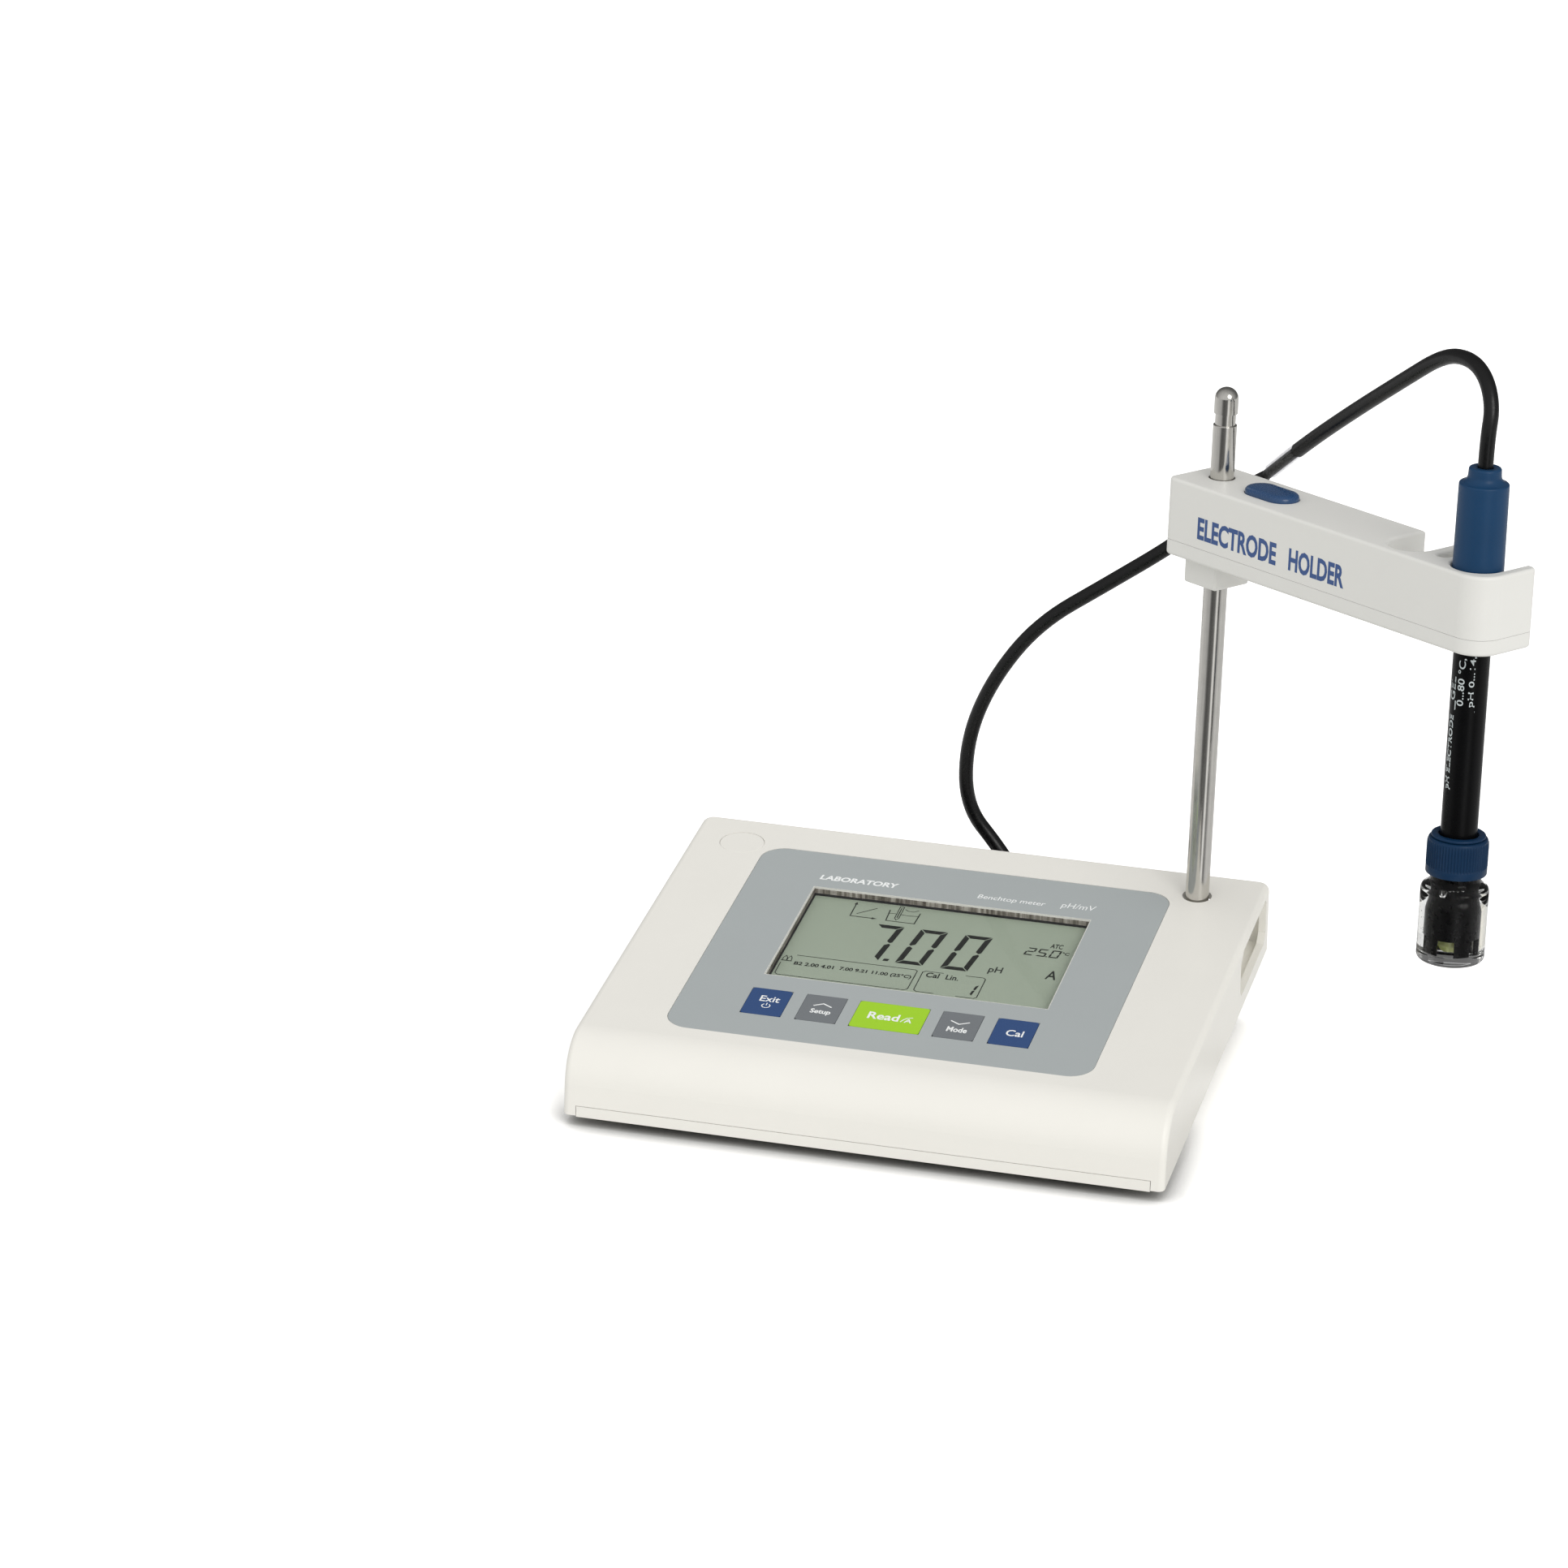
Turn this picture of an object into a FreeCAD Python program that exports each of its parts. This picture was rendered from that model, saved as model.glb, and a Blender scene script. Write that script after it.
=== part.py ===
import FreeCAD, Part
import math
import os
import Sketcher
from FreeCAD import Placement, Rotation, Vector

# A bench pH meter: a sloping console, an electrode arm on a steel pole, a combined pH electrode
# in its storage bottle, and the electrode's cable. Millimetres, +Z up, +X right, +Y to the rear.
# The origin is on the table, below the middle of the object without its cable.

doc = FreeCAD.newDocument("ph_meter")
sheet = doc.addObject("Spreadsheet::Sheet", "size")

DRIVING = {
    # console, a slab of even thickness that leans forward on a wedge
    "case_width": 200.0,
    "slab_length": 175.8,
    "slab_height": 24.4,
    "tilt": 7.8,
    "front_lift": 3.7,
    "wall": 2.5,
    "front_roll": 16.0,
    "case_centre": -45.6,
    "front_edge": -87.1,
    "tray_half": 88.0,
    "floor_under": 2.5,
    "floor_thick": 2.0,
    "lip_top": 7.0,
    "lip_half": 95.4,
    "fit_gap": 0.15,
    # keypad and display
    "panel_width": 142.8,
    "panel_length": 133.3,
    "panel_mid": 90.5,
    "panel_offset": -1.5,
    "panel_thick": 0.5,
    "panel_corner": 8.5,
    "glass_width": 96.6,
    "glass_length": 65.9,
    "glass_mid": 99.4,
    "key_width": 13.6,
    "read_width": 23.5,
    "key_length": 17.8,
    "key_row": 47.7,
    "key_offset": -2.2,
    "inner_pitch": 23.1,
    "outer_pitch": 41.6,
    "board_under": 12.0,
    "board_thick": 1.6,
    # pole and arm
    "pole_side": 77.7,
    "pole_back": 66.7,
    "pole_dia": 8.0,
    "pole_top": 228.1,
    "pole_hole": 10.0,
    "plug_dia": 15.4,
    "plug_neck": 7.8,
    "arm_turn": -34.5,
    "arm_tail": -11.7,
    "arm_tip": 131.6,
    "arm_front": -14.0,
    "arm_rear": 12.0,
    "arm_under": 170.4,
    "arm_seam": 175.9,
    "arm_top": 197.0,
    "arm_wall": 2.0,
    "arm_joint_gap": 0.1,
    "boss_under": 160.5,
    "boss_long": 15.0,
    "boss_wide": 16.0,
    "boss_mid": 0.1,
    "bush_dia": 11.0,
    "button_mid": 25.0,
    "button_side": -1.5,
    "button_long": 20.6,
    "button_wide": 12.0,
    # electrode and bottle, measured from the electrode's own axis
    "probe_reach": 118.6,
    "probe_side": -2.0,
    "probe_turn": -6.0,
    "head_top": 229.5,
    "head_dia": 16.2,
    "shaft_dia": 12.0,
    "shaft_end": 66.0,
    "bottle_base": 63.4,
    "bottle_dia": 22.3,
    "bottle_shoulder": 89.2,
    "cap_base": 93.3,
    "cap_top": 105.4,
    "cap_dia": 20.0,
    # cable
    "cable_dia": 5.0,
    "coil_turn": 60.0,
}
for row, (alias, number) in enumerate(DRIVING.items(), start=1):
    sheet.set("A%d" % row, alias)
    sheet.set("B%d" % row, str(number))
    sheet.setAlias("B%d" % row, alias)
doc.recompute()

# Derived places of the sub-parts, each "slab" one lying in the tilted console and each "arm" one
# lying along the electrode arm.
SLAB = {
    "at": ("size.case_centre", "size.front_edge", "size.front_lift"),
    "axis": Vector(1, 0, 0),
    "angle": "size.tilt",
}
WORLD = {"at": ("size.case_centre", "0", "0"), "axis": Vector(0, 0, 1), "angle": "0"}
ARM = {
    "at": ("size.case_centre + size.pole_side", "size.pole_back", "0"),
    "axis": Vector(0, 0, 1),
    "angle": "size.arm_turn",
}
PROBE = {
    "at": (
        "size.case_centre + size.pole_side + size.probe_reach * cos(size.arm_turn * 1 deg)"
        " - size.probe_side * sin(size.arm_turn * 1 deg)",
        "size.pole_back + size.probe_reach * sin(size.arm_turn * 1 deg)"
        " + size.probe_side * cos(size.arm_turn * 1 deg)",
        "0",
    ),
    "axis": Vector(0, 0, 1),
    "angle": "size.probe_turn",
}
POLE = {"at": ARM["at"], "axis": Vector(0, 0, 1), "angle": "0"}

nodes = []


def value(name):
    """One number of the sheet."""
    return float(sheet.get(name))


def bind(thing, prop, formula):
    thing.setExpression(prop, str(formula))


def frame_matrix(frame):
    """The placement of a frame as numbers, for shapes that are built directly."""
    marker = doc.addObject("App::FeaturePython", "marker")
    for axis in "XYZ":
        marker.addProperty("App::PropertyFloat", axis)
        bind(marker, axis, frame["at"]["XYZ".index(axis)])
    marker.addProperty("App::PropertyFloat", "Turn")
    bind(marker, "Turn", frame["angle"])
    doc.recompute()
    place = Placement(Vector(marker.X, marker.Y, marker.Z), Rotation(frame["axis"], marker.Turn))
    doc.removeObject(marker.Name)
    return place


class Solid:
    """A PartDesign body with short helpers; every size in it may be a formula of the sheet."""

    def __init__(self, label, frame):
        self.body = doc.addObject("PartDesign::Body", label)
        self.body.Label = label
        for axis, formula in zip("xyz", frame["at"]):
            bind(self.body, "Placement.Base." + axis, formula)
        self.body.Placement.Rotation = Rotation(frame["axis"], 1.0)
        bind(self.body, "Placement.Rotation.Angle", "(%s) * 1 deg" % frame["angle"])
        nodes.append(self.body)

    def sketch(self, plane, outlines, lift="0"):
        """A sketch on an origin plane; an outline is a list of corners or ("round", x, y, dia)."""
        base = next(o for o in self.body.Origin.OriginFeatures if o.Role == plane + "_Plane")
        sk = self.body.newObject("Sketcher::SketchObject", "outline")
        sk.AttachmentSupport = [(base, "")]
        sk.MapMode = "FlatFace"
        bind(sk, "AttachmentOffset.Base.z", lift)
        for outline in outlines:
            if outline[0] == "round":
                self.draw_circle(sk, *outline[1:])
            else:
                self.draw_polygon(sk, outline)
        return sk

    def number(self, sk, formula):
        """The current number of a formula, so that a sketch starts in its solved shape."""
        sk.addProperty("App::PropertyFloat", "Probe")
        bind(sk, "Probe", formula)
        sk.recompute()
        found = sk.Probe
        sk.setExpression("Probe", None)
        sk.removeProperty("Probe")
        return found

    def draw_polygon(self, sk, corners):
        spots = [Vector(self.number(sk, x), self.number(sk, y), 0) for x, y in corners]
        first = sk.GeometryCount
        count = len(spots)
        for i in range(count):
            sk.addGeometry(Part.LineSegment(spots[i], spots[(i + 1) % count]), False)
        for i in range(count):
            sk.addConstraint(Sketcher.Constraint("Coincident", first + i, 2, first + (i + 1) % count, 1))
        for i, (x, y) in enumerate(corners):
            for kind, formula, number in (("DistanceX", x, spots[i].x), ("DistanceY", y, spots[i].y)):
                self.pin(sk, kind, first + i, 1, formula, number)

    def draw_circle(self, sk, x, y, dia):
        middle = Vector(self.number(sk, x), self.number(sk, y), 0)
        radius = self.number(sk, dia) / 2
        geo = sk.addGeometry(Part.Circle(middle, Vector(0, 0, 1), radius), False)
        self.pin(sk, "DistanceX", geo, 3, x, middle.x)
        self.pin(sk, "DistanceY", geo, 3, y, middle.y)
        index = sk.addConstraint(Sketcher.Constraint("Diameter", geo, 2 * radius))
        bind(sk, "Constraints[%d]" % index, dia)

    def pin(self, sk, kind, geo, point, formula, number):
        """Ties one coordinate of a point to the sketch's origin."""
        index = sk.addConstraint(Sketcher.Constraint(kind, -1, 1, geo, point, number))
        if abs(number) > 1e-6:
            bind(sk, "Constraints[%d]" % index, formula)

    def extrude(self, kind, plane, outlines, length, lift="0", both=False, back=False):
        sk = self.sketch(plane, outlines, lift)
        feature = self.body.newObject("PartDesign::" + kind, kind.lower())
        feature.Profile = sk
        bind(feature, "Length", length)
        if both:
            feature.SideType = "Symmetric"
        feature.Reversed = back
        self.body.Tip = feature
        doc.recompute()
        return feature

    def pad(self, plane, outlines, length, **how):
        return self.extrude("Pad", plane, outlines, length, **how)

    def cut(self, plane, outlines, length, **how):
        """A pocket; it fails loudly when it removes nothing."""
        before = self.body.Shape.Volume
        feature = self.extrude("Pocket", plane, outlines, length, **how)
        if self.body.Shape.Volume > before - 1e-3:
            raise RuntimeError("pocket without effect in " + self.body.Label)
        return feature

    def spin(self, corners):
        """Turns a half outline, given as (radius, height), about the body's Z axis."""
        sk = self.sketch("XZ", [corners])
        feature = self.body.newObject("PartDesign::Revolution", "revolution")
        feature.Profile = sk
        feature.ReferenceAxis = (sk, ["V_Axis"])
        feature.Angle = 360.0
        self.body.Tip = feature
        doc.recompute()
        return feature

    def ease(self, wanted, size, kind="Fillet"):
        """Fillets or chamfers the edges for which wanted(edge, middle) is true."""
        tip = self.body.Tip
        names = []
        for i, edge in enumerate(tip.Shape.Edges, start=1):
            middle = edge.valueAt((edge.FirstParameter + edge.LastParameter) / 2)
            if wanted(edge, middle):
                names.append("Edge%d" % i)
        if not names:
            raise RuntimeError("no edges to ease in " + self.body.Label)
        feature = self.body.newObject("PartDesign::" + kind, kind.lower())
        feature.Base = (tip, names)
        bind(feature, "Radius" if kind == "Fillet" else "Size", size)
        self.body.Tip = feature
        doc.recompute()
        return feature


def rectangle(x, y, wide, long):
    """Corners of a rectangle about a middle, as formulas."""
    left = "(%s) - (%s) / 2" % (x, wide)
    right = "(%s) + (%s) / 2" % (x, wide)
    low = "(%s) - (%s) / 2" % (y, long)
    high = "(%s) + (%s) / 2" % (y, long)
    return [(left, low), (right, low), (right, high), (left, high)]


def disc(label, frame, dia, low, high, x="0", y="0", bore=None):
    """A plain disc, or a ring when a bore is given."""
    part = Solid(label, frame)
    outline = [("round", x, y, dia)]
    if bore:
        outline.append(("round", x, y, bore))
    part.pad("XY", outline, "(%s) - (%s)" % (high, low), lift=low)


def direct(label, shape):
    """A sub-part whose shape is made directly, for groups of loose solids and for the cable."""
    feature = doc.addObject("Part::Feature", label)
    feature.Label = label
    feature.Shape = shape
    nodes.append(feature)
    return feature


def group(label, frame, shapes):
    """Identical small pieces as one node of separate solids, in the given frame."""
    feature = direct(label, Part.Compound(shapes))
    feature.Placement = frame_matrix(frame)
    return feature


def along(edge, axis, tolerance=1e-3):
    """True for a straight edge along an axis."""
    if edge.Curve.TypeId != "Part::GeomLine":
        return False
    direction = edge.Curve.Direction
    return abs(abs(getattr(direction, axis)) - 1) < tolerance


# --- console ----------------------------------------------------------------------------------

SLAB_TOP = "size.slab_height"
CEILING = "size.slab_height - size.wall"
PANEL_FLOOR = "size.slab_height - 0.6"
POLE_ALONG = "(size.pole_back - size.front_edge + size.slab_height * sin(size.tilt * 1 deg))" \
             " / cos(size.tilt * 1 deg)"
PLUG_SPOT = ("-size.pole_side - 4.2", POLE_ALONG + " - 1")
SCREW_SPOTS = [(-81.0, 20.0), (81.0, 20.0), (-81.0, 128.0), (81.0, 128.0)]
# Outline of the window in each side wall: along the slab, above its underside.
SIDE_WINDOW = [("124", "8"), ("126.5", "5.5"), ("165", "5.5"), ("168", "8.5"), ("168", "20"),
               ("166", "21.9"), ("128.5", "21.9"), ("124", "18.5")]
BOARD_SPOTS = [(-70.0, 16.0), (70.0, 16.0), (-70.0, 130.0), (70.0, 130.0)]
BOARD_MIDDLE = "73"
BOARD_WIDE = "150"
BOARD_LONG = "122"
SHIELD_SPOT = ("-45", "111")
SHIELD_DEEP = "6"
# Screws for the board and for the two housings: head diameter and height, shank diameter and length.
BOARD_SCREW = (5.6, 1.8, 2.3, 7.0)
HOUSING_SCREW = (5.6, 2.0, 2.4, 11.0)
HOUSING_SEAT = 5.5
ARM_SCREW = (4.4, 1.8, 2.1, 9.0)


def screw(size, x, y, seat, up):
    """A screw whose head stands on its seat and whose shank runs up or down from there."""
    head_dia, head_high, shank_dia, shank_long = size
    head_low = seat - head_high if up else seat
    shank_low = seat if up else seat - shank_long
    head = Part.makeCylinder(head_dia / 2, head_high, Vector(x, y, head_low))
    shank = Part.makeCylinder(shank_dia / 2, shank_long, Vector(x, y, shank_low))
    return head.fuse(shank)


def key_places():
    """Name, middle across and width of each key."""
    return [
        ("key_exit", "size.key_offset - size.outer_pitch", "size.key_width"),
        ("key_setup", "size.key_offset - size.inner_pitch", "size.key_width"),
        ("key_read", "size.key_offset", "size.read_width"),
        ("key_mode", "size.key_offset + size.inner_pitch", "size.key_width"),
        ("key_cal", "size.key_offset + size.outer_pitch", "size.key_width"),
    ]


def front_lean(height):
    """How far forward an upright line from the slab's lower front edge runs at a height."""
    return "(%s) * tan(size.tilt * 1 deg)" % height


def make_top_housing():
    part = Solid("top_housing", SLAB)
    side = [
        ("0", "0"),
        ("size.slab_length", "0"),
        ("size.slab_length", SLAB_TOP),
        (front_lean(SLAB_TOP), SLAB_TOP),
    ]
    part.pad("YZ", [side], "size.case_width", both=True)
    height = value("slab_height")
    length = value("slab_length")
    half = value("case_width") / 2
    part.ease(lambda e, m: along(e, "x") and m.z > height - 1 and m.y < 10, "size.front_roll")
    part.ease(lambda e, m: along(e, "z") and m.y > length - 1, "4")
    part.ease(lambda e, m: abs(abs(m.x) - half) < 1e-3 and m.y < 30 and m.z < height / 2
              and e.Curve.TypeId == "Part::GeomLine" and not along(e, "y"), "2.2")
    inner = [
        ("size.wall + 1.5", "-1"),
        ("size.slab_length - size.wall", "-1"),
        ("size.slab_length - size.wall", CEILING),
        ("size.front_roll - 1", CEILING),
        ("size.wall + 3.5", "size.slab_height - 8.5"),
    ]
    part.cut("YZ", [inner], "size.case_width - 2 * size.wall", both=True)
    # open rear bay, notch for the tray's front lip, and the windows in both side walls
    bay = [
        ("size.slab_length - 6", "-1"),
        ("size.slab_length + 1", "-1"),
        ("size.slab_length + 1", CEILING + " - 1"),
        ("size.slab_length - 6", CEILING + " - 1"),
    ]
    part.cut("YZ", [bay], "2 * size.tray_half", both=True)
    lip = [("-4", "-1"), ("5", "-1"), ("5", "size.lip_top - size.front_lift + 0.1"),
           ("-4", "size.lip_top - size.front_lift + 0.1")]
    part.cut("YZ", [lip], "2 * size.lip_half + 0.4", both=True)
    part.cut("YZ", [SIDE_WINDOW], "size.case_width + 2", both=True)
    # recess of the keypad overlay, display opening, key windows, pole hole and plug hole
    panel = rectangle("size.panel_offset", "size.panel_mid", "size.panel_width + 0.3",
                      "size.panel_length + 0.3")
    part.cut("XY", [panel], "2", lift=PANEL_FLOOR, back=True)
    part.ease(lambda e, m: along(e, "z") and m.z > height - 0.6 and abs(m.x) < 75 and m.y > 20,
              "size.panel_corner")
    display = rectangle("size.panel_offset", "size.glass_mid", "size.glass_width + 0.2",
                        "size.glass_length + 0.2")
    part.cut("XY", [display], "size.slab_height", back=True)
    for name, across, width in key_places():
        opening = rectangle(across, "size.key_row", width + " + 2 * size.fit_gap",
                            "size.key_length + 2 * size.fit_gap")
        part.cut("XY", [opening], "size.slab_height", back=True)
    part.cut("XY", [("round", "size.pole_side", POLE_ALONG, "size.pole_hole"),
                    ("round",) + PLUG_SPOT + ("size.plug_neck + 0.1",)], "size.slab_height",
             lift="10", back=True)
    part.cut("XY", [("round",) + PLUG_SPOT + ("size.plug_dia + 0.2",)], "3",
             lift="size.slab_height - 0.9", back=True)
    bosses = [("round", str(x), str(y), "7") for x, y in SCREW_SPOTS]
    part.pad("XY", bosses, CEILING + " - 9", lift="9")
    pilots = [("round", str(x), str(y), "2.5") for x, y in SCREW_SPOTS]
    part.cut("XY", pilots, "9", lift="8", back=True)


def slab_floor(along_slab, lift):
    """Height in the slab's frame, at a place along it, of the level plane at a sheet height."""
    return ("(size.%s - size.front_lift - (%s) * sin(size.tilt * 1 deg)) / cos(size.tilt * 1 deg)"
            % (lift, along_slab))


def make_bottom_housing():
    """The tray: a wedge below the slab, a ledge that closes the slab's underside, a front lip."""
    part = Solid("bottom_housing", SLAB)
    rear = "size.slab_length - 4"
    front = "size.wall + 3"
    outer = [(front, slab_floor(front, "floor_under")), (rear, slab_floor(rear, "floor_under")),
             (rear, CEILING + " - 0.3"), ("17", CEILING + " - 0.3"), (front, "6")]
    part.pad("YZ", [outer], "2 * size.tray_half", both=True)
    ledge = rectangle("0", "(%s + %s) / 2" % (front, rear), "size.case_width - 2 * size.wall - 0.6",
                      "%s - (%s)" % (rear, front))
    part.pad("XY", [ledge], "2", lift="0.5")
    lip_high = "size.lip_top - size.front_lift - 0.1"
    lip = [("0", "-0.4"), (front, "-1.2"), (front, lip_high), (front_lean(lip_high), lip_high)]
    part.pad("YZ", [lip], "2 * size.lip_half", both=True)
    raised = "(%s) + size.floor_thick"
    behind = front + " + size.floor_thick"
    inner = [(behind, raised % slab_floor(behind, "floor_under")),
             (rear + " + 1", raised % slab_floor(rear + " + 1", "floor_under")),
             (rear + " + 1", CEILING + " + 1"), (behind, CEILING + " + 1")]
    part.cut("YZ", [inner], "2 * size.tray_half - 4", both=True)
    # posts for the board, and counterbored posts for the housing screws
    posts = [("round", str(x), str(y), "6") for x, y in BOARD_SPOTS]
    for spot, (x, y) in zip(posts, BOARD_SPOTS):
        depth = "size.board_under - (%s)" % slab_floor(str(y), "floor_under")
        part.pad("XY", [spot], depth + " - 0.5", lift="size.board_under", back=True)
        part.cut("XY", [("round", str(x), str(y), "2.4")], "6", lift="size.board_under")
    for x, y in SCREW_SPOTS:
        depth = "8.9 - (%s)" % slab_floor(str(y), "floor_under")
        part.pad("XY", [("round", str(x), str(y), "9")], depth + " - 0.6", lift="8.9", back=True)
        part.cut("XY", [("round", str(x), str(y), "3.4")], "40", lift="10")
        part.cut("XY", [("round", str(x), str(y), "6.2")], "40", lift=str(HOUSING_SEAT))
    # the pole's screw comes up through the floor
    screw_along = ("(size.pole_back - size.front_edge) * cos(size.tilt * 1 deg)"
                   " - size.front_lift * sin(size.tilt * 1 deg)")
    part.cut("XY", [("round", "size.pole_side", screw_along, "9.6")], "20", lift="-10")


def make_keypad():
    overlay = Solid("keypad_overlay", SLAB)
    panel = rectangle("size.panel_offset", "size.panel_mid", "size.panel_width", "size.panel_length")
    overlay.pad("XY", [panel], "size.panel_thick", lift=PANEL_FLOOR)
    overlay.ease(lambda e, m: along(e, "z"), "size.panel_corner")
    hole = rectangle("size.panel_offset", "size.glass_mid", "size.glass_width", "size.glass_length")
    overlay.cut("XY", [hole], "5", lift=SLAB_TOP)
    for name, across, width in key_places():
        opening = rectangle(across, "size.key_row", width + " + 2 * size.fit_gap",
                            "size.key_length + 2 * size.fit_gap")
        overlay.cut("XY", [opening], "5", lift=SLAB_TOP)
    for name, across, width in key_places():
        key = Solid(name, SLAB)
        key.pad("XY", [rectangle(across, "size.key_row", width, "size.key_length")], "3.4",
                lift="size.slab_height - 3.45")
        key.ease(lambda e, m: along(e, "z"), "1.2")
        key.pad("XY", [("round", across, "size.key_row", "4.5")],
                "size.slab_height - 3 - size.board_under - size.board_thick - 1.2",
                lift="size.board_under + size.board_thick + 1.2")
    dome_base = value("board_under") + value("board_thick")
    pitches = [-value("outer_pitch"), -value("inner_pitch"), 0, value("inner_pitch"),
               value("outer_pitch")]
    middles = [Vector(value("key_offset") + pitch, value("key_row"), dome_base)
               for pitch in pitches]
    group("key_domes", SLAB, [Part.makeCone(4.0, 1.6, 0.6, middle) for middle in middles])


def make_display():
    glass_size = ("size.glass_width - 0.1", "size.glass_length - 0.1")
    window = Solid("display_window", SLAB)
    window.pad("XY", [rectangle("size.panel_offset", "size.glass_mid", *glass_size)], "1.2",
               lift="size.slab_height - 1.3")
    frame = Solid("display_frame", SLAB)
    outer = rectangle("size.panel_offset", "size.glass_mid", *glass_size)
    inner = rectangle("size.panel_offset", "size.glass_mid", "size.glass_width - 3",
                      "size.glass_length - 3")
    frame.pad("XY", [outer, inner], "1.7", lift="size.slab_height - 3")
    module = Solid("display_module", SLAB)
    module.pad("XY", [rectangle("size.panel_offset", "size.glass_mid", "size.glass_width + 4",
                                "size.glass_length + 5")], "2.8", lift="size.slab_height - 5.9")
    pad_shape = rectangle("size.panel_offset", "size.glass_mid", *glass_size)
    module.pad("XY", [pad_shape], "0.3", lift="size.slab_height - 3.4")


def make_electronics():
    board = Solid("main_board", SLAB)
    board.pad("XY", [rectangle("0", BOARD_MIDDLE, BOARD_WIDE, BOARD_LONG)], "size.board_thick",
              lift="size.board_under")
    holes = [("round", str(x), str(y), "3.2") for x, y in BOARD_SPOTS]
    board.cut("XY", holes, "5", lift="size.board_under + size.board_thick")
    shield = Solid("input_shield", SLAB)
    shield.pad("XY", [rectangle(*SHIELD_SPOT, "36", "24")], SHIELD_DEEP,
               lift="size.board_under - " + SHIELD_DEEP)
    shield.cut("XY", [rectangle(*SHIELD_SPOT, "35", "23")], SHIELD_DEEP + " - 0.5",
               lift="size.board_under - " + SHIELD_DEEP + " + 0.5", back=True)
    top = value("board_under") + value("board_thick")
    group("board_screws", SLAB, [screw(BOARD_SCREW, x, y, top, False) for x, y in BOARD_SPOTS])
    group("housing_screws", SLAB,
          [screw(HOUSING_SCREW, x, y, HOUSING_SEAT, True) for x, y in SCREW_SPOTS])


FOOT_RADIUS = 6.5
FOOT_SPOTS = [(-66.0, -72.0), (-66.0, 70.0), (66.0, -72.0), (66.0, 70.0)]


def make_feet():
    high = value("floor_under")
    feet = [Part.makeCylinder(FOOT_RADIUS, high, Vector(x, y, 0)) for x, y in FOOT_SPOTS]
    group("rubber_feet", WORLD, feet)


def make_blind_plug():
    part = Solid("blind_plug", SLAB)
    part.pad("XY", [("round",) + PLUG_SPOT + ("size.plug_dia",)], "0.85",
             lift="size.slab_height - 0.9")
    part.ease(lambda e, m: m.z > value("slab_height") - 0.06, "0.3")
    part.pad("XY", [("round",) + PLUG_SPOT + ("size.plug_neck",)], "3.2",
             lift="size.slab_height - 4.1")
    part.cut("XY", [("round",) + PLUG_SPOT + ("size.plug_neck - 2.9",)], "2.5",
             lift="size.slab_height - 4.1", back=True)


PANEL_AT = "139"
PANEL_OUTER = "141"
SOCKET_LEVEL = "2"


def make_rear_panel():
    part = Solid("rear_panel", SLAB)
    low = "(%s) + size.floor_thick + 0.6" % slab_floor(PANEL_OUTER, "floor_under")
    side = [(PANEL_AT, low), (PANEL_OUTER, low), (PANEL_OUTER, CEILING + " - 0.3"),
            (PANEL_AT, CEILING + " - 0.3")]
    part.pad("YZ", [side], "2 * size.tray_half - 4.2", both=True)
    for label, across, size, proud in SOCKETS:
        part.cut("XZ", [socket_outline(across, size, SOCKET_GAP)], "5", lift="-142", back=True)


# name, middle across the console, size (a diameter, or width and height), reach past the panel
SOCKETS = [
    ("bnc_socket", -20.0, 12.0, 2.0),
    ("temperature_socket", -42.0, 10.0, 6.0),
    ("power_socket", -60.0, 9.0, 1.5),
    ("usb_socket", 0.0, (12.0, 11.0), 1.0),
    ("serial_socket", 28.0, (31.0, 12.5), 4.0),
    ("reference_socket", 56.0, 9.0, 1.5),
]
SOCKET_BORE = {
    "temperature_socket": 3.6,
    "reference_socket": 4.0,
    "power_socket": 5.6,
}
SOCKET_DEPTH = 9.0
SOCKET_GAP = 0.1


def socket_outline(across, size, gap):
    """The outline of a socket where it passes the rear panel."""
    if isinstance(size, tuple):
        return rectangle(str(across), SOCKET_LEVEL, str(size[0] + gap), str(size[1] + gap))
    return ("round", str(across), SOCKET_LEVEL, str(size + gap))


def make_sockets():
    for label, across, size, proud in SOCKETS:
        part = Solid(label, SLAB)
        face = "%s + %s" % (PANEL_OUTER, proud)
        part.pad("XZ", [socket_outline(across, size, 0.0)], "%s + %s + 2" % (SOCKET_DEPTH, proud),
                 lift="-(%s)" % face)
        spot = (str(across), SOCKET_LEVEL)
        if label in SOCKET_BORE:
            part.cut("XZ", [("round",) + spot + (str(SOCKET_BORE[label]),)], "9",
                     lift="-(%s)" % face, back=True)
        elif label == "serial_socket":
            part.cut("XZ", [rectangle(*spot, "17", "8.5")], "5", lift="-(%s)" % face, back=True)
            part.pad("XZ", [rectangle(*spot, "15.6", "7")], "4.5", lift="-(%s) + 0.5" % face)
        elif label == "usb_socket":
            part.cut("XZ", [rectangle(*spot, "8.6", "7.8")], "8", lift="-(%s)" % face, back=True)
            part.pad("XZ", [rectangle(*spot, "5.4", "3.2")], "7.5", lift="-(%s) + 0.5" % face)
        else:
            barrel = "%s + 11" % PANEL_OUTER
            part.pad("XZ", [("round",) + spot + ("9.7",)], "12", lift="-(%s)" % barrel)
            part.cut("XZ", [("round",) + spot + ("8.1",)], "9", lift="-(%s)" % barrel, back=True)
            part.pad("XZ", [("round",) + spot + ("4.6",)], "8", lift="-(%s) + 1" % barrel)
            part.cut("XZ", [("round",) + spot + ("1.4",)], "6", lift="-(%s) + 1" % barrel, back=True)


# --- pole --------------------------------------------------------------------------------------

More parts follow.
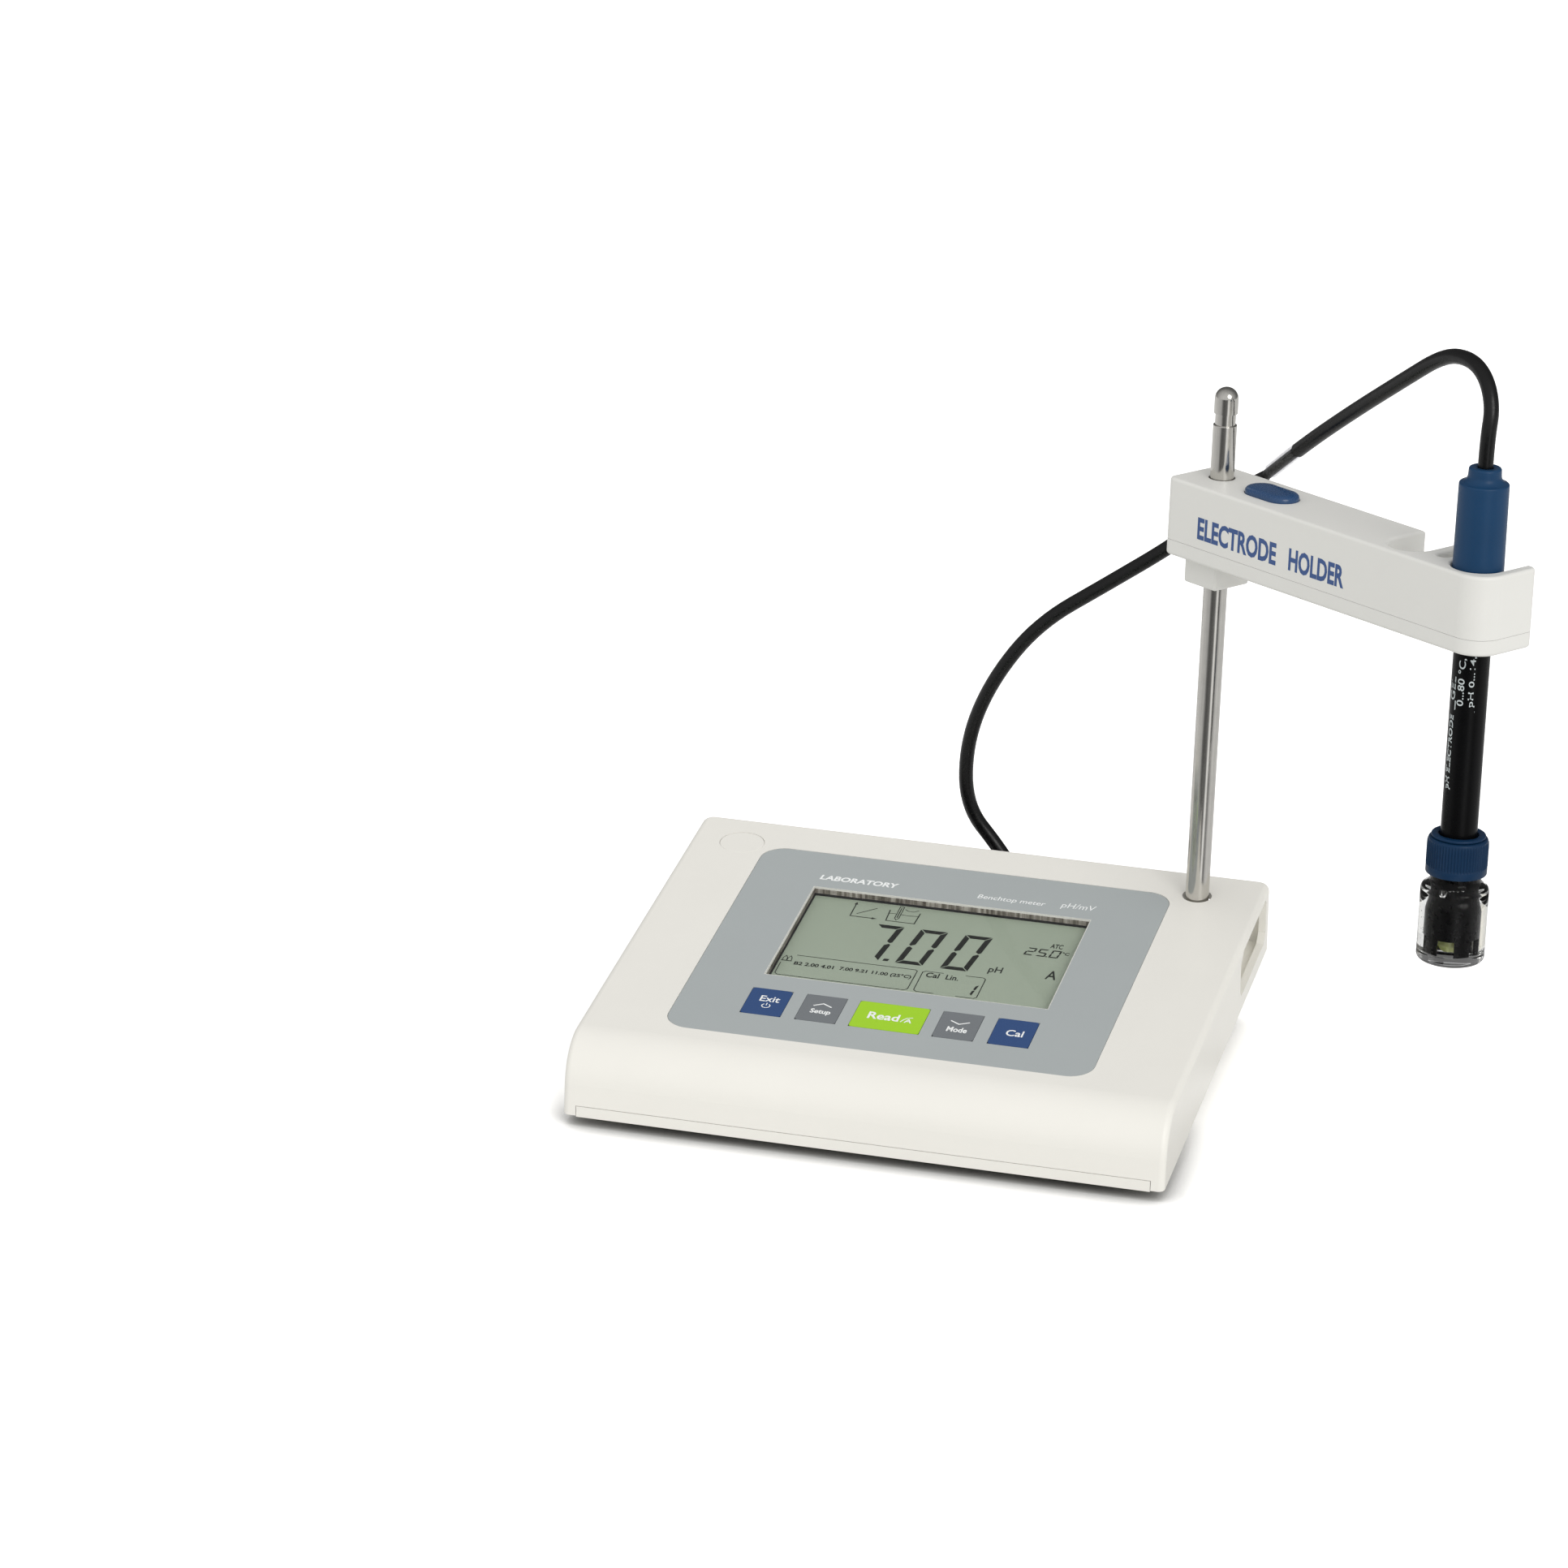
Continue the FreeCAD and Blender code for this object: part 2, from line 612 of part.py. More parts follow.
def make_pole():
    pole = Solid("pole", POLE)
    radius = "size.pole_dia / 2"
    neck_high = "size.pole_top - 8.8"
    neck_low = "size.pole_top - 12.7"
    pole.spin([
        ("0", "18.6"), ("2.05", "18.6"), ("2.05", "6.7"), (radius, "6.7"), (radius, neck_low),
        ("3.45", neck_low), ("3.45", neck_high), (radius, neck_high), (radius, "size.pole_top"),
        ("0", "size.pole_top"),
    ])
    top = value("pole_top")
    pole.ease(lambda e, m: m.z > top - 1e-3, "3.9")
    pole.ease(lambda e, m: abs(m.z - top + 12.7) < 1e-3 and m.Length > 3.9
              and abs(math.hypot(m.x, m.y) - 4) < 1e-3, "0.3")
    base = Solid("pole_base", POLE)
    base.spin([
        ("2.6", "4.6"), ("7.4", "4.6"), ("7.4", "18"), ("4.03", "18"), ("4.03", "6.6"),
        ("2.6", "6.6"),
    ])
    fixing = Solid("pole_screw", POLE)
    fixing.spin([("0", "2.3"), ("4.2", "2.3"), ("4.2", "4.5"), ("2", "4.5"), ("2", "17"), ("0", "17")])


# --- electrode arm -----------------------------------------------------------------------------

SLOTS = [("89.9", "-2.5", "16"), ("104.3", "-2.4", "5.2")]
PROBE_SLOT = ("size.probe_reach", "size.probe_side", "size.head_dia + 1.2")
SHAFT_SLOT = ("size.probe_reach", "size.probe_side", "size.shaft_dia + 1.2")


def arm_outline():
    return [("size.arm_tail", "size.arm_front"), ("size.arm_tip", "size.arm_front"),
            ("size.arm_tip", "size.arm_rear"), ("size.arm_tail", "size.arm_rear")]


def round_arm_corners(part):
    tip = value("arm_tip")
    tail = value("arm_tail")
    part.ease(lambda e, m: along(e, "z") and m.x > tip - 1 and m.y < 0, "9.5")
    part.ease(lambda e, m: along(e, "z") and m.x > tip - 1 and m.y > 0, "2.5")
    part.ease(lambda e, m: along(e, "z") and m.x < tail + 1 and m.y < 0, "3")
    part.ease(lambda e, m: along(e, "z") and m.x < tail + 1 and m.y > 0, "4.5")


def cut_slot(part, slot, low):
    """A slot with a round end, open to the rear of the arm."""
    across, side, width = slot
    part.cut("XY", [("round", across, side, width)], "60", lift=low, back=True)
    mouth = [("%s - (%s) / 2" % (across, width), side), ("%s + (%s) / 2" % (across, width), side),
             ("%s + (%s) / 2" % (across, width), "20"), ("%s - (%s) / 2" % (across, width), "20")]
    part.cut("XY", [mouth], "60", lift=low, back=True)


def stadium(part, action, wide, long, depth, lift, **how):
    """Adds or cuts a shape with two round ends about the release button's middle."""
    reach = "((%s) - (%s)) / 2" % (long, wide)
    middle = ("size.button_mid", "size.button_side")
    for sign in ("-", "+"):
        action("XY", [("round", "%s %s %s" % (middle[0], sign, reach), middle[1], wide)], depth,
               lift=lift, **how)
    action("XY", [rectangle(*middle, "2 * " + reach, wide)], depth, lift=lift, **how)


def make_arm():
    upper = Solid("arm_upper_shell", ARM)
    upper.pad("XY", [arm_outline()], "size.arm_top - size.arm_seam", lift="size.arm_seam")
    round_arm_corners(upper)
    for slot in SLOTS + [PROBE_SLOT]:
        cut_slot(upper, slot, "size.arm_seam")
    top = value("arm_top")
    upper.ease(lambda e, m: m.z > top - 1e-3, "1.1")
    room = [("size.arm_tail + size.arm_wall", "size.arm_front + size.arm_wall"),
            ("72", "size.arm_front + size.arm_wall"), ("72", "size.arm_rear - size.arm_wall"),
            ("size.arm_tail + size.arm_wall + 1", "size.arm_rear - size.arm_wall"),
            ("size.arm_tail + size.arm_wall", "size.arm_rear - size.arm_wall - 1")]
    upper.cut("XY", [room], "size.arm_top - size.arm_wall - size.arm_seam", lift="size.arm_seam",
              back=True)
    upper.cut("XY", [("round", "0", "0", "size.pole_dia + 1")], "30", lift="size.arm_seam", back=True)
    stadium(upper, upper.cut, "size.button_wide + 0.4", "size.button_long + 0.4", "10",
            "size.arm_top - 5", back=True)
    upper.pad("XY", [("round", "50", "-1", "7")], "size.arm_top - size.arm_wall - size.arm_seam",
              lift="size.arm_seam")
    upper.cut("XY", [("round", x, y, "2.2") for x, y in ARM_SCREWS], "8", lift="size.arm_seam",
              back=True)

    lower = Solid("arm_lower_shell", ARM)
    lower.pad("XY", [arm_outline()], "size.arm_seam - size.arm_joint_gap - size.arm_under",
              lift="size.arm_under")
    round_arm_corners(lower)
    under = value("arm_under")
    lower.ease(lambda e, m: m.z < under + 1e-3, "1.2")
    for slot in SLOTS + [SHAFT_SLOT]:
        cut_slot(lower, slot, "size.arm_under")
    boss = rectangle("size.boss_mid", "0", "size.boss_long", "size.boss_wide")
    lower.pad("XY", [boss], "size.arm_under + 2 - size.boss_under", lift="size.boss_under")
    boss_under = value("boss_under")
    lower.ease(lambda e, m: m.z < boss_under + 1e-3 or (along(e, "z") and m.z < under), "1")
    lower.cut("XY", [("round", "0", "0", "size.bush_dia + 0.1")], "40", lift="size.boss_under",
              back=True)
    lower.cut("XY", [("round", "0", "0", "size.bush_dia + 2.4")], "5", lift="size.arm_seam - 2",
              back=True)
    lower.cut("XY", [("round", x, y, "2.6") for x, y in ARM_SCREWS], "12", lift="size.arm_under",
              back=True)
    lower.cut("XY", [("round", x, y, "4.8") for x, y in ARM_SCREWS], "2.4", lift="size.arm_under",
              back=True)
    group("arm_screws", ARM,
          [screw(ARM_SCREW, float(x), float(y), under + 2.3, True) for x, y in ARM_SCREWS])


ARM_SCREWS = [("50", "-1"), ("76.3", "7.5"), ("76.3", "-9.5")]
LEVER_PIN = "-6.3"
LEVER_MIDDLE = 186.0


def make_clamp():
    """The guide bush on the pole, and the lever and button that let the arm go."""
    bush = Solid("guide_bush", POLE)
    inner = "size.pole_dia / 2 + 0.03"
    outer = "size.bush_dia / 2"
    flange_low = "size.arm_seam - 1.9"
    bush.spin([(inner, "size.boss_under + 0.3"), (outer, "size.boss_under + 0.3"),
               (outer, flange_low), ("size.bush_dia / 2 + 1", flange_low),
               ("size.bush_dia / 2 + 1", "size.arm_seam - 0.3"), (inner, "size.arm_seam - 0.3")])
    lever = Solid("clamp_lever", ARM)
    low = str(LEVER_MIDDLE - 1.5)
    lever.pad("XY", [rectangle("11", "-1", "38", "13")], "3", lift=low)
    lever.cut("XY", [("round", "0", "0", "9.4")], "9", lift=low, back=True)
    lever.cut("XZ", [("round", LEVER_PIN, str(LEVER_MIDDLE), "2.1")], "30", lift="-15", back=True)
    pin = Solid("lever_pin", ARM)
    pin.pad("XZ", [("round", LEVER_PIN, str(LEVER_MIDDLE), "2")],
            "size.arm_rear - size.arm_front - 2 * size.arm_wall",
            lift="-(size.arm_rear - size.arm_wall)")
    button = Solid("release_button", ARM)
    wall_under = "size.arm_top - size.arm_wall"
    stadium(button, button.pad, "size.button_wide", "size.button_long", "4.9",
            wall_under + " - 1.6")
    crown = value("arm_top") - value("arm_wall") - 1.6 + 4.9
    button.ease(lambda e, m: m.z > crown - 1e-3, "1.2")
    stadium(button, button.pad, "size.button_wide + 2.4", "size.button_long + 2.4", "1.5",
            wall_under + " - 1.6")
    stem_low = str(LEVER_MIDDLE + 1.8)
    button.pad("XY", [("round", "size.button_mid", "size.button_side", "4")],
               wall_under + " - 1 - " + stem_low, lift=stem_low)
    disc("button_spring", ARM, "7", "size.arm_seam", low + " - 0.05", x="size.button_mid",
         y="size.button_side", bore="5.4")


# --- electrode and storage bottle ----------------------------------------------------------------

def make_electrode():
    head = Solid("electrode_head", PROBE)
    radius = "size.head_dia / 2"
    head.spin([
        ("6.05", "size.arm_seam + 0.1"), (radius + " + 0.35", "size.arm_seam + 0.1"),
        (radius, "size.head_top - 5.2"), ("6.2", "size.head_top - 3.1"), ("5.5", "size.head_top"),
        ("0", "size.head_top"), ("0", "size.arm_seam + 9"), ("6.05", "size.arm_seam + 9"),
    ])
    top = value("head_top")
    head.ease(lambda e, m: m.z > top - 1e-3 or abs(m.z - top + 5.2) < 1e-3, "0.8")
    shaft = Solid("electrode_shaft", PROBE)
    outer = "size.shaft_dia / 2"
    shaft.spin([("4.75", "size.shaft_end"), (outer, "size.shaft_end"), (outer, "size.arm_seam + 8.9"),
                ("4.75", "size.arm_seam + 8.9")])
    shaft.cut("XY", [rectangle("0", "0", "4.6", "20")], "5.4", lift="size.shaft_end", back=True)
    shaft.cut("XY", [rectangle("0", "0", "20", "4.6")], "5.4", lift="size.shaft_end", back=True)
    membrane = Solid("glass_membrane", PROBE)
    bulb = "size.shaft_end + 3.2"
    membrane.spin([
        ("0", "size.shaft_end + 0.6"), ("2", "size.shaft_end + 1.2"), ("3.1", bulb),
        ("2.6", "size.shaft_end + 5.6"), ("2.6", "size.shaft_end + 34"), ("2", "size.shaft_end + 34"),
        ("2", "size.shaft_end + 5.4"), ("2.5", bulb), ("1.6", "size.shaft_end + 1.8"),
        ("0", "size.shaft_end + 1.3"),
    ])
    seal = Solid("junction_ring", PROBE)
    seal.spin([("2.65", "size.shaft_end + 9.5"), ("4.7", "size.shaft_end + 9.5"),
               ("4.7", "size.shaft_end + 13"), ("2.65", "size.shaft_end + 13")])
    disc("inner_electrode", PROBE, "1.6", "size.shaft_end + 2.8", "size.arm_seam + 8.5")


def make_bottle():
    ring = Solid("seal_ring", PROBE)
    ring.spin([("6.9", "size.cap_top + 0.05"), ("8.9", "size.cap_top + 0.05"),
               ("8.9", "size.cap_top + 2"), ("6.9", "size.cap_top + 2")])
    cap = Solid("bottle_cap", PROBE)
    radius = "size.cap_dia / 2"
    cap.spin([
        ("6.2", "size.cap_top"), (radius + " - 1.2", "size.cap_top"), (radius, "size.cap_top - 1.2"),
        (radius, "size.cap_base"), ("8.4", "size.cap_base"), ("8.4", "size.cap_top - 2"),
        ("6.2", "size.cap_top - 2"),
    ])
    washer = Solid("bottle_washer", PROBE)
    washer.spin([("6.1", "size.cap_top - 4"), ("8.2", "size.cap_top - 4"), ("8.2", "size.cap_top - 2.1"),
                 ("6.1", "size.cap_top - 2.1")])
    bottle = Solid("storage_bottle", PROBE)
    outer = "size.bottle_dia / 2"
    neck_top = "size.cap_top - 4.1"
    bottle.spin([
        ("0", "size.bottle_base"), (outer + " - 0.9", "size.bottle_base"),
        (outer, "size.bottle_base + 1.6"), (outer, "size.bottle_shoulder"),
        ("8.2", "size.bottle_shoulder + 3.4"), ("8.2", neck_top), ("6.8", neck_top),
        ("6.8", "size.bottle_shoulder + 2.6"), (outer + " - 1.2", "size.bottle_shoulder - 0.6"),
        (outer + " - 1.2", "size.bottle_base + 2.2"), ("0", "size.bottle_base + 2"),
    ])
    solution = Solid("storage_solution", PROBE)
    liquid = outer + " - 1.25"
    solution.spin([
        ("0", "size.bottle_base + 2.3"), (liquid, "size.bottle_base + 2.3"),
        (liquid, "size.bottle_shoulder - 1"), ("6.2", "size.bottle_shoulder - 1"),
        ("6.2", "size.shaft_end - 0.15"), ("0", "size.shaft_end - 0.15"),
    ])


# --- cable ---------------------------------------------------------------------------------------

# Hand-chosen route from the electrode's head, over the arm and down behind the console to the coil.
ROUTE = [
    (128.7, -2.1, 229.5),
    (128.7, -2.1, 239.0),
    (129.3, 0.1, 248.5),
    (125.9, 5.6, 256.7),
    (119.6, 12.4, 260.5),
    (109.9, 21.5, 258.5),
    (95.0, 35.0, 245.0),
    (77.0, 51.5, 228.5),
    (58.0, 69.0, 210.0),
    (33.5, 90.5, 183.5),
    (12.0, 98.0, 163.0),
    (-12.0, 104.5, 144.3),
    (-36.7, 110.6, 125.5),
    (-53.1, 115.0, 101.5),
    (-61.7, 118.7, 77.6),
    (-61.1, 119.1, 53.5),
    (-48.5, 120.8, 38.6),
    (-37.5, 114.5, 26.5),
    (-19.5, 104.5, 18.8),
    (0.0, 100.0, 14.8),
]
# The runs of the route in whose middles the cable passes from the electrode's stretch to the
# arm's, and from the arm's to the pole's.
ARM_RUN = 8
POLE_RUN = 9
# Route from the coil to the plug.
TAIL = [
    (0.0, 160.0, 2.5),
    (-15.0, 158.5, 3.5),
    (-31.0, 153.5, 8.0),
    (-46.0, 145.0, 16.0),
    (-57.5, 133.0, 25.0),
    (-64.0, 119.5, 31.0),
    (-65.6, 106.0, 32.1),
    (-65.6, 92.0, 30.2),
]
COIL_MIDDLE = (0.0, 130.0)
COIL_HEIGHT = 15.0
BEND = 0.45
# Clear sleeve: radii, and where it starts and how long it is as shares of its run.
SLEEVE_OUTER = 2.95
SLEEVE_BORE = 2.55
SLEEVE_START = 0.12
SLEEVE_SHARE = 0.36


def tangent_path(points, name):
    """Straight runs joined by tangent arcs, each as large as its two runs allow."""
    spots = [Vector(*p) for p in points]
    edges = []
    start = spots[0]
    radii = []
    for before, corner, after in zip(spots, spots[1:], spots[2:]):
        into = (corner - before).normalize()
        out = (after - corner).normalize()
        turn = into.getAngle(out)
        reach = BEND * min((corner - before).Length, (after - corner).Length)
        radius = reach / math.tan(turn / 2)
        radii.append(radius)
        enter = corner - into * reach
        leave = corner + out * reach
        bisector = (out - into).normalize()
        centre = corner + bisector * (radius / math.cos(turn / 2))
        middle = centre - bisector * radius
        edges.append(Part.LineSegment(start, enter).toShape())
        edges.append(Part.Arc(enter, middle, leave).toShape())
        start = leave
    edges.append(Part.LineSegment(start, spots[-1]).toShape())
    print("%s: bend radii %s mm" % (name, " ".join("%.0f" % r for r in radii)))
    return Part.Wire(edges)


def tube(label, points):
    """A round tube along a route; its volume is compared with section times length."""
    path = tangent_path(points, label)
    radius = value("cable_dia") / 2
    start = path.Edges[0]
    profile = Part.Wire(Part.Circle(Vector(*points[0]), start.tangentAt(0), radius).toShape())
    solid = path.makePipeShell([profile], True, True)
    expected = math.pi * radius ** 2 * path.Length
    print("%s: length %.1f mm, volume %.3f of expected" % (label, path.Length, solid.Volume / expected))
    if abs(solid.Volume / expected - 1) > 0.02:
        raise RuntimeError("cable volume is off in " + label)
    return direct(label, solid)


def halfway(route, run):
    """The middle of one run of a route."""
    return tuple((a + b) / 2 for a, b in zip(route[run], route[run + 1]))


def make_cable():
    arm_point = halfway(ROUTE, ARM_RUN)
    pole_point = halfway(ROUTE, POLE_RUN)
    tube("cable_head_run", ROUTE[:ARM_RUN + 1] + [arm_point])
    tube("cable_arm_run", [arm_point] + ROUTE[ARM_RUN + 1:POLE_RUN + 1] + [pole_point])
    tube("cable_drop", [pole_point] + ROUTE[POLE_RUN + 1:])
    tube("cable_tail", TAIL)
    thick = COIL_HEIGHT / 2
    direct("cable_coil", Part.makeTorus(value("coil_turn") / 2, thick, Vector(*COIL_MIDDLE, thick)))
    # clear sleeve with the cable's label, on the straight stretch beside the arm
    first = Vector(*ROUTE[ARM_RUN])
    run = Vector(*ROUTE[ARM_RUN + 1]) - first
    start = first + run * SLEEVE_START
    outer = Part.makeCylinder(SLEEVE_OUTER, run.Length * SLEEVE_SHARE, start, run)
    inner = Part.makeCylinder(SLEEVE_BORE, run.Length * SLEEVE_SHARE, start, run)
    direct("cable_sleeve", outer.cut(inner))


def make_plug():
    """The bayonet plug on its socket, with the cable leaving along the plug's axis."""
    part = Solid("bnc_plug", SLAB)
    spot = (str(SOCKETS[0][1]), SOCKET_LEVEL)
    part.pad("XZ", [("round",) + spot + ("14.5",)], "22", lift="-167")
    part.pad("XZ", [("round",) + spot + ("10",)], "15", lift="-181")
    part.cut("XZ", [("round",) + spot + ("9.8",)], "9", lift="-145", back=False)


for build in (make_top_housing, make_bottom_housing, make_keypad, make_display, make_electronics,
              make_feet, make_blind_plug, make_rear_panel, make_sockets, make_pole, make_arm,
              make_clamp, make_electrode, make_bottle, make_cable, make_plug):
    build()
doc.recompute()


def check():
    """Stops when any object failed or any sub-part is not a valid closed solid."""
    for thing in doc.Objects:
        if "Invalid" in thing.State or "Error" in thing.State:
            raise RuntimeError("%s failed: %s" % (thing.Label, thing.State))
    for node in nodes:
        shape = node.Shape
        if shape.isNull() or not shape.isValid() or not shape.Solids:
            raise RuntimeError("no valid solid in " + node.Label)


check()
os.makedirs("parts", exist_ok=True)
whole = FreeCAD.BoundBox()
for node in nodes:
    node.Shape.exportStep(os.path.join("parts", node.Label + ".step"))
    whole.add(node.Shape.BoundBox)
    print("%-20s %d solid(s) %9.0f mm3" % (node.Label, len(node.Shape.Solids), node.Shape.Volume))
print("whole object", whole)
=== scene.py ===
import math
import random

import bmesh
import bpy
from mathutils import Matrix, Vector


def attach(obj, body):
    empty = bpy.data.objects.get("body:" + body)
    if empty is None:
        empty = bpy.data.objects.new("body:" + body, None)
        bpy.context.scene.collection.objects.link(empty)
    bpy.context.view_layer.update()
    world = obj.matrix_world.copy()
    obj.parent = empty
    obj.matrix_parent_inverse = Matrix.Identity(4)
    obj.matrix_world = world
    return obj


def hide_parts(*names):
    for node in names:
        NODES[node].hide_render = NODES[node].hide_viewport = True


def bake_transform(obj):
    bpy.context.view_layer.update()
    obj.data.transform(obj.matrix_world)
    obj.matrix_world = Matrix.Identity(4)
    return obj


# The pH meter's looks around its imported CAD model. Metres, +Z up, +X right, +Y to the rear.
# Sizes of small details are written in millimetres, so MM turns them into metres.
MM = 0.001

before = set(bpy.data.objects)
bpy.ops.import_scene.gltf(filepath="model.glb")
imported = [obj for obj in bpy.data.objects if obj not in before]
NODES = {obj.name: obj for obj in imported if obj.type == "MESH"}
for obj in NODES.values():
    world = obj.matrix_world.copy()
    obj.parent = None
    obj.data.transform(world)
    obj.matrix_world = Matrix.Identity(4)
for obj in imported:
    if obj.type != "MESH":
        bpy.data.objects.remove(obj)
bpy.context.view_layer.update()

# Frames of the tilted console slab, of the electrode arm and of the electrode's own axis.
SLAB = Matrix.Translation((-0.0456, -0.0871, 0.0037)) @ Matrix.Rotation(math.radians(7.8), 4, "X")
POLE = Vector((0.0321, 0.0667, 0.0))
ARM = Matrix.Translation(POLE) @ Matrix.Rotation(math.radians(-34.5), 4, "Z")
PROBE_AT = ARM @ Vector((0.1186, -0.002, 0.0))
PROBE = Matrix.Translation(PROBE_AT) @ Matrix.Rotation(math.radians(-6.0), 4, "Z")
# The heights of the cap, the bottle and what is in it are measured 2.4 mm below the electrode's.
BOTTLE_LIFT = 2.4
BOTTLE = PROBE @ Matrix.Translation((0.0, 0.0, BOTTLE_LIFT * MM))

OVERLAY_TOP = 24.3
KEY_TOP = 24.35
LCD_TOP = 21.3
INK = 0.03


# --- mesh helpers -----------------------------------------

def new_object(name, mesh, material=None):
    thing = bpy.data.objects.new(name, mesh)
    bpy.context.scene.collection.objects.link(thing)
    if material is not None:
        mesh.materials.append(material)
    return thing


def ring_faces(rows, steps):
    """Four-sided faces between neighbouring rows of a closed ring of points."""
    found = []
    for i in range(rows - 1):
        for k in range(steps):
            j = (k + 1) % steps
            found.append((i * steps + k, i * steps + j, (i + 1) * steps + j, (i + 1) * steps + k))
    return found


def capped(rows, steps):
    """The faces of a ringed body with an end face at its first and last rows."""
    last = (rows - 1) * steps
    return ring_faces(rows, steps) + [tuple(range(steps)), tuple(range(last, last + steps))]


def traced(curve):
    """The points and faces of a curve or a text, which is then removed."""
    holder = new_object(curve.name, curve)
    bpy.context.view_layer.update()
    mesh = bpy.data.meshes.new_from_object(holder)
    points = [v.co.copy() for v in mesh.vertices]
    faces = [tuple(face.vertices) for face in mesh.polygons]
    bpy.data.objects.remove(holder)
    bpy.data.curves.remove(curve)
    bpy.data.meshes.remove(mesh)
    return points, faces


def mesh_from(name, points, faces, material=None, smooth=True, crease=None):
    """A mesh object; edges sharper than crease degrees stay sharp when it is smooth."""
    mesh = bpy.data.meshes.new(name)
    mesh.from_pydata([tuple(p) for p in points], [], faces)
    mesh.validate()
    work = bmesh.new()
    work.from_mesh(mesh)
    bmesh.ops.recalc_face_normals(work, faces=work.faces)
    for face in work.faces:
        face.smooth = smooth
    if crease is not None:
        limit = math.radians(crease)
        for edge in work.edges:
            if len(edge.link_faces) == 2 and edge.calc_face_angle(0.0) > limit:
                edge.smooth = False
    work.to_mesh(mesh)
    work.free()
    return new_object(name, mesh, material)


def lathe(name, profile, material, frame_matrix=PROBE, steps=96, crease=35.0, radius_of=None):
    """Turns (radius, height) pairs in mm about the frame's Z; radius_of can shape each ring."""
    points = []
    rings = []
    for radius, height in profile:
        if radius < 1e-6:
            rings.append([len(points)])
            points.append(frame_matrix @ Vector((0, 0, height * MM)))
            continue
        ring = []
        for i in range(steps):
            turn = 2 * math.pi * i / steps
            r = radius if radius_of is None else radius_of(radius, height, turn)
            ring.append(len(points))
            points.append(frame_matrix @ Vector((r * math.cos(turn) * MM, r * math.sin(turn) * MM,
                                                 height * MM)))
        rings.append(ring)
    faces = []
    for low, high in zip(rings, rings[1:]):
        for i in range(steps):
            j = (i + 1) % steps
            if len(low) == 1 and len(high) == 1:
                continue
            if len(low) == 1:
                faces.append((low[0], high[j], high[i]))
            elif len(high) == 1:
                faces.append((low[i], low[j], high[0]))
            else:
                faces.append((low[i], low[j], high[j], high[i]))
    return mesh_from(name, points, faces, material, crease=crease)


def arc(cx, cz, radius, start, end, count):
    """Points of a flat arc, angles in degrees."""
    found = []
    for i in range(count + 1):
        turn = math.radians(start + (end - start) * i / count)
        found.append((cx + radius * math.cos(turn), cz + radius * math.sin(turn)))
    return found


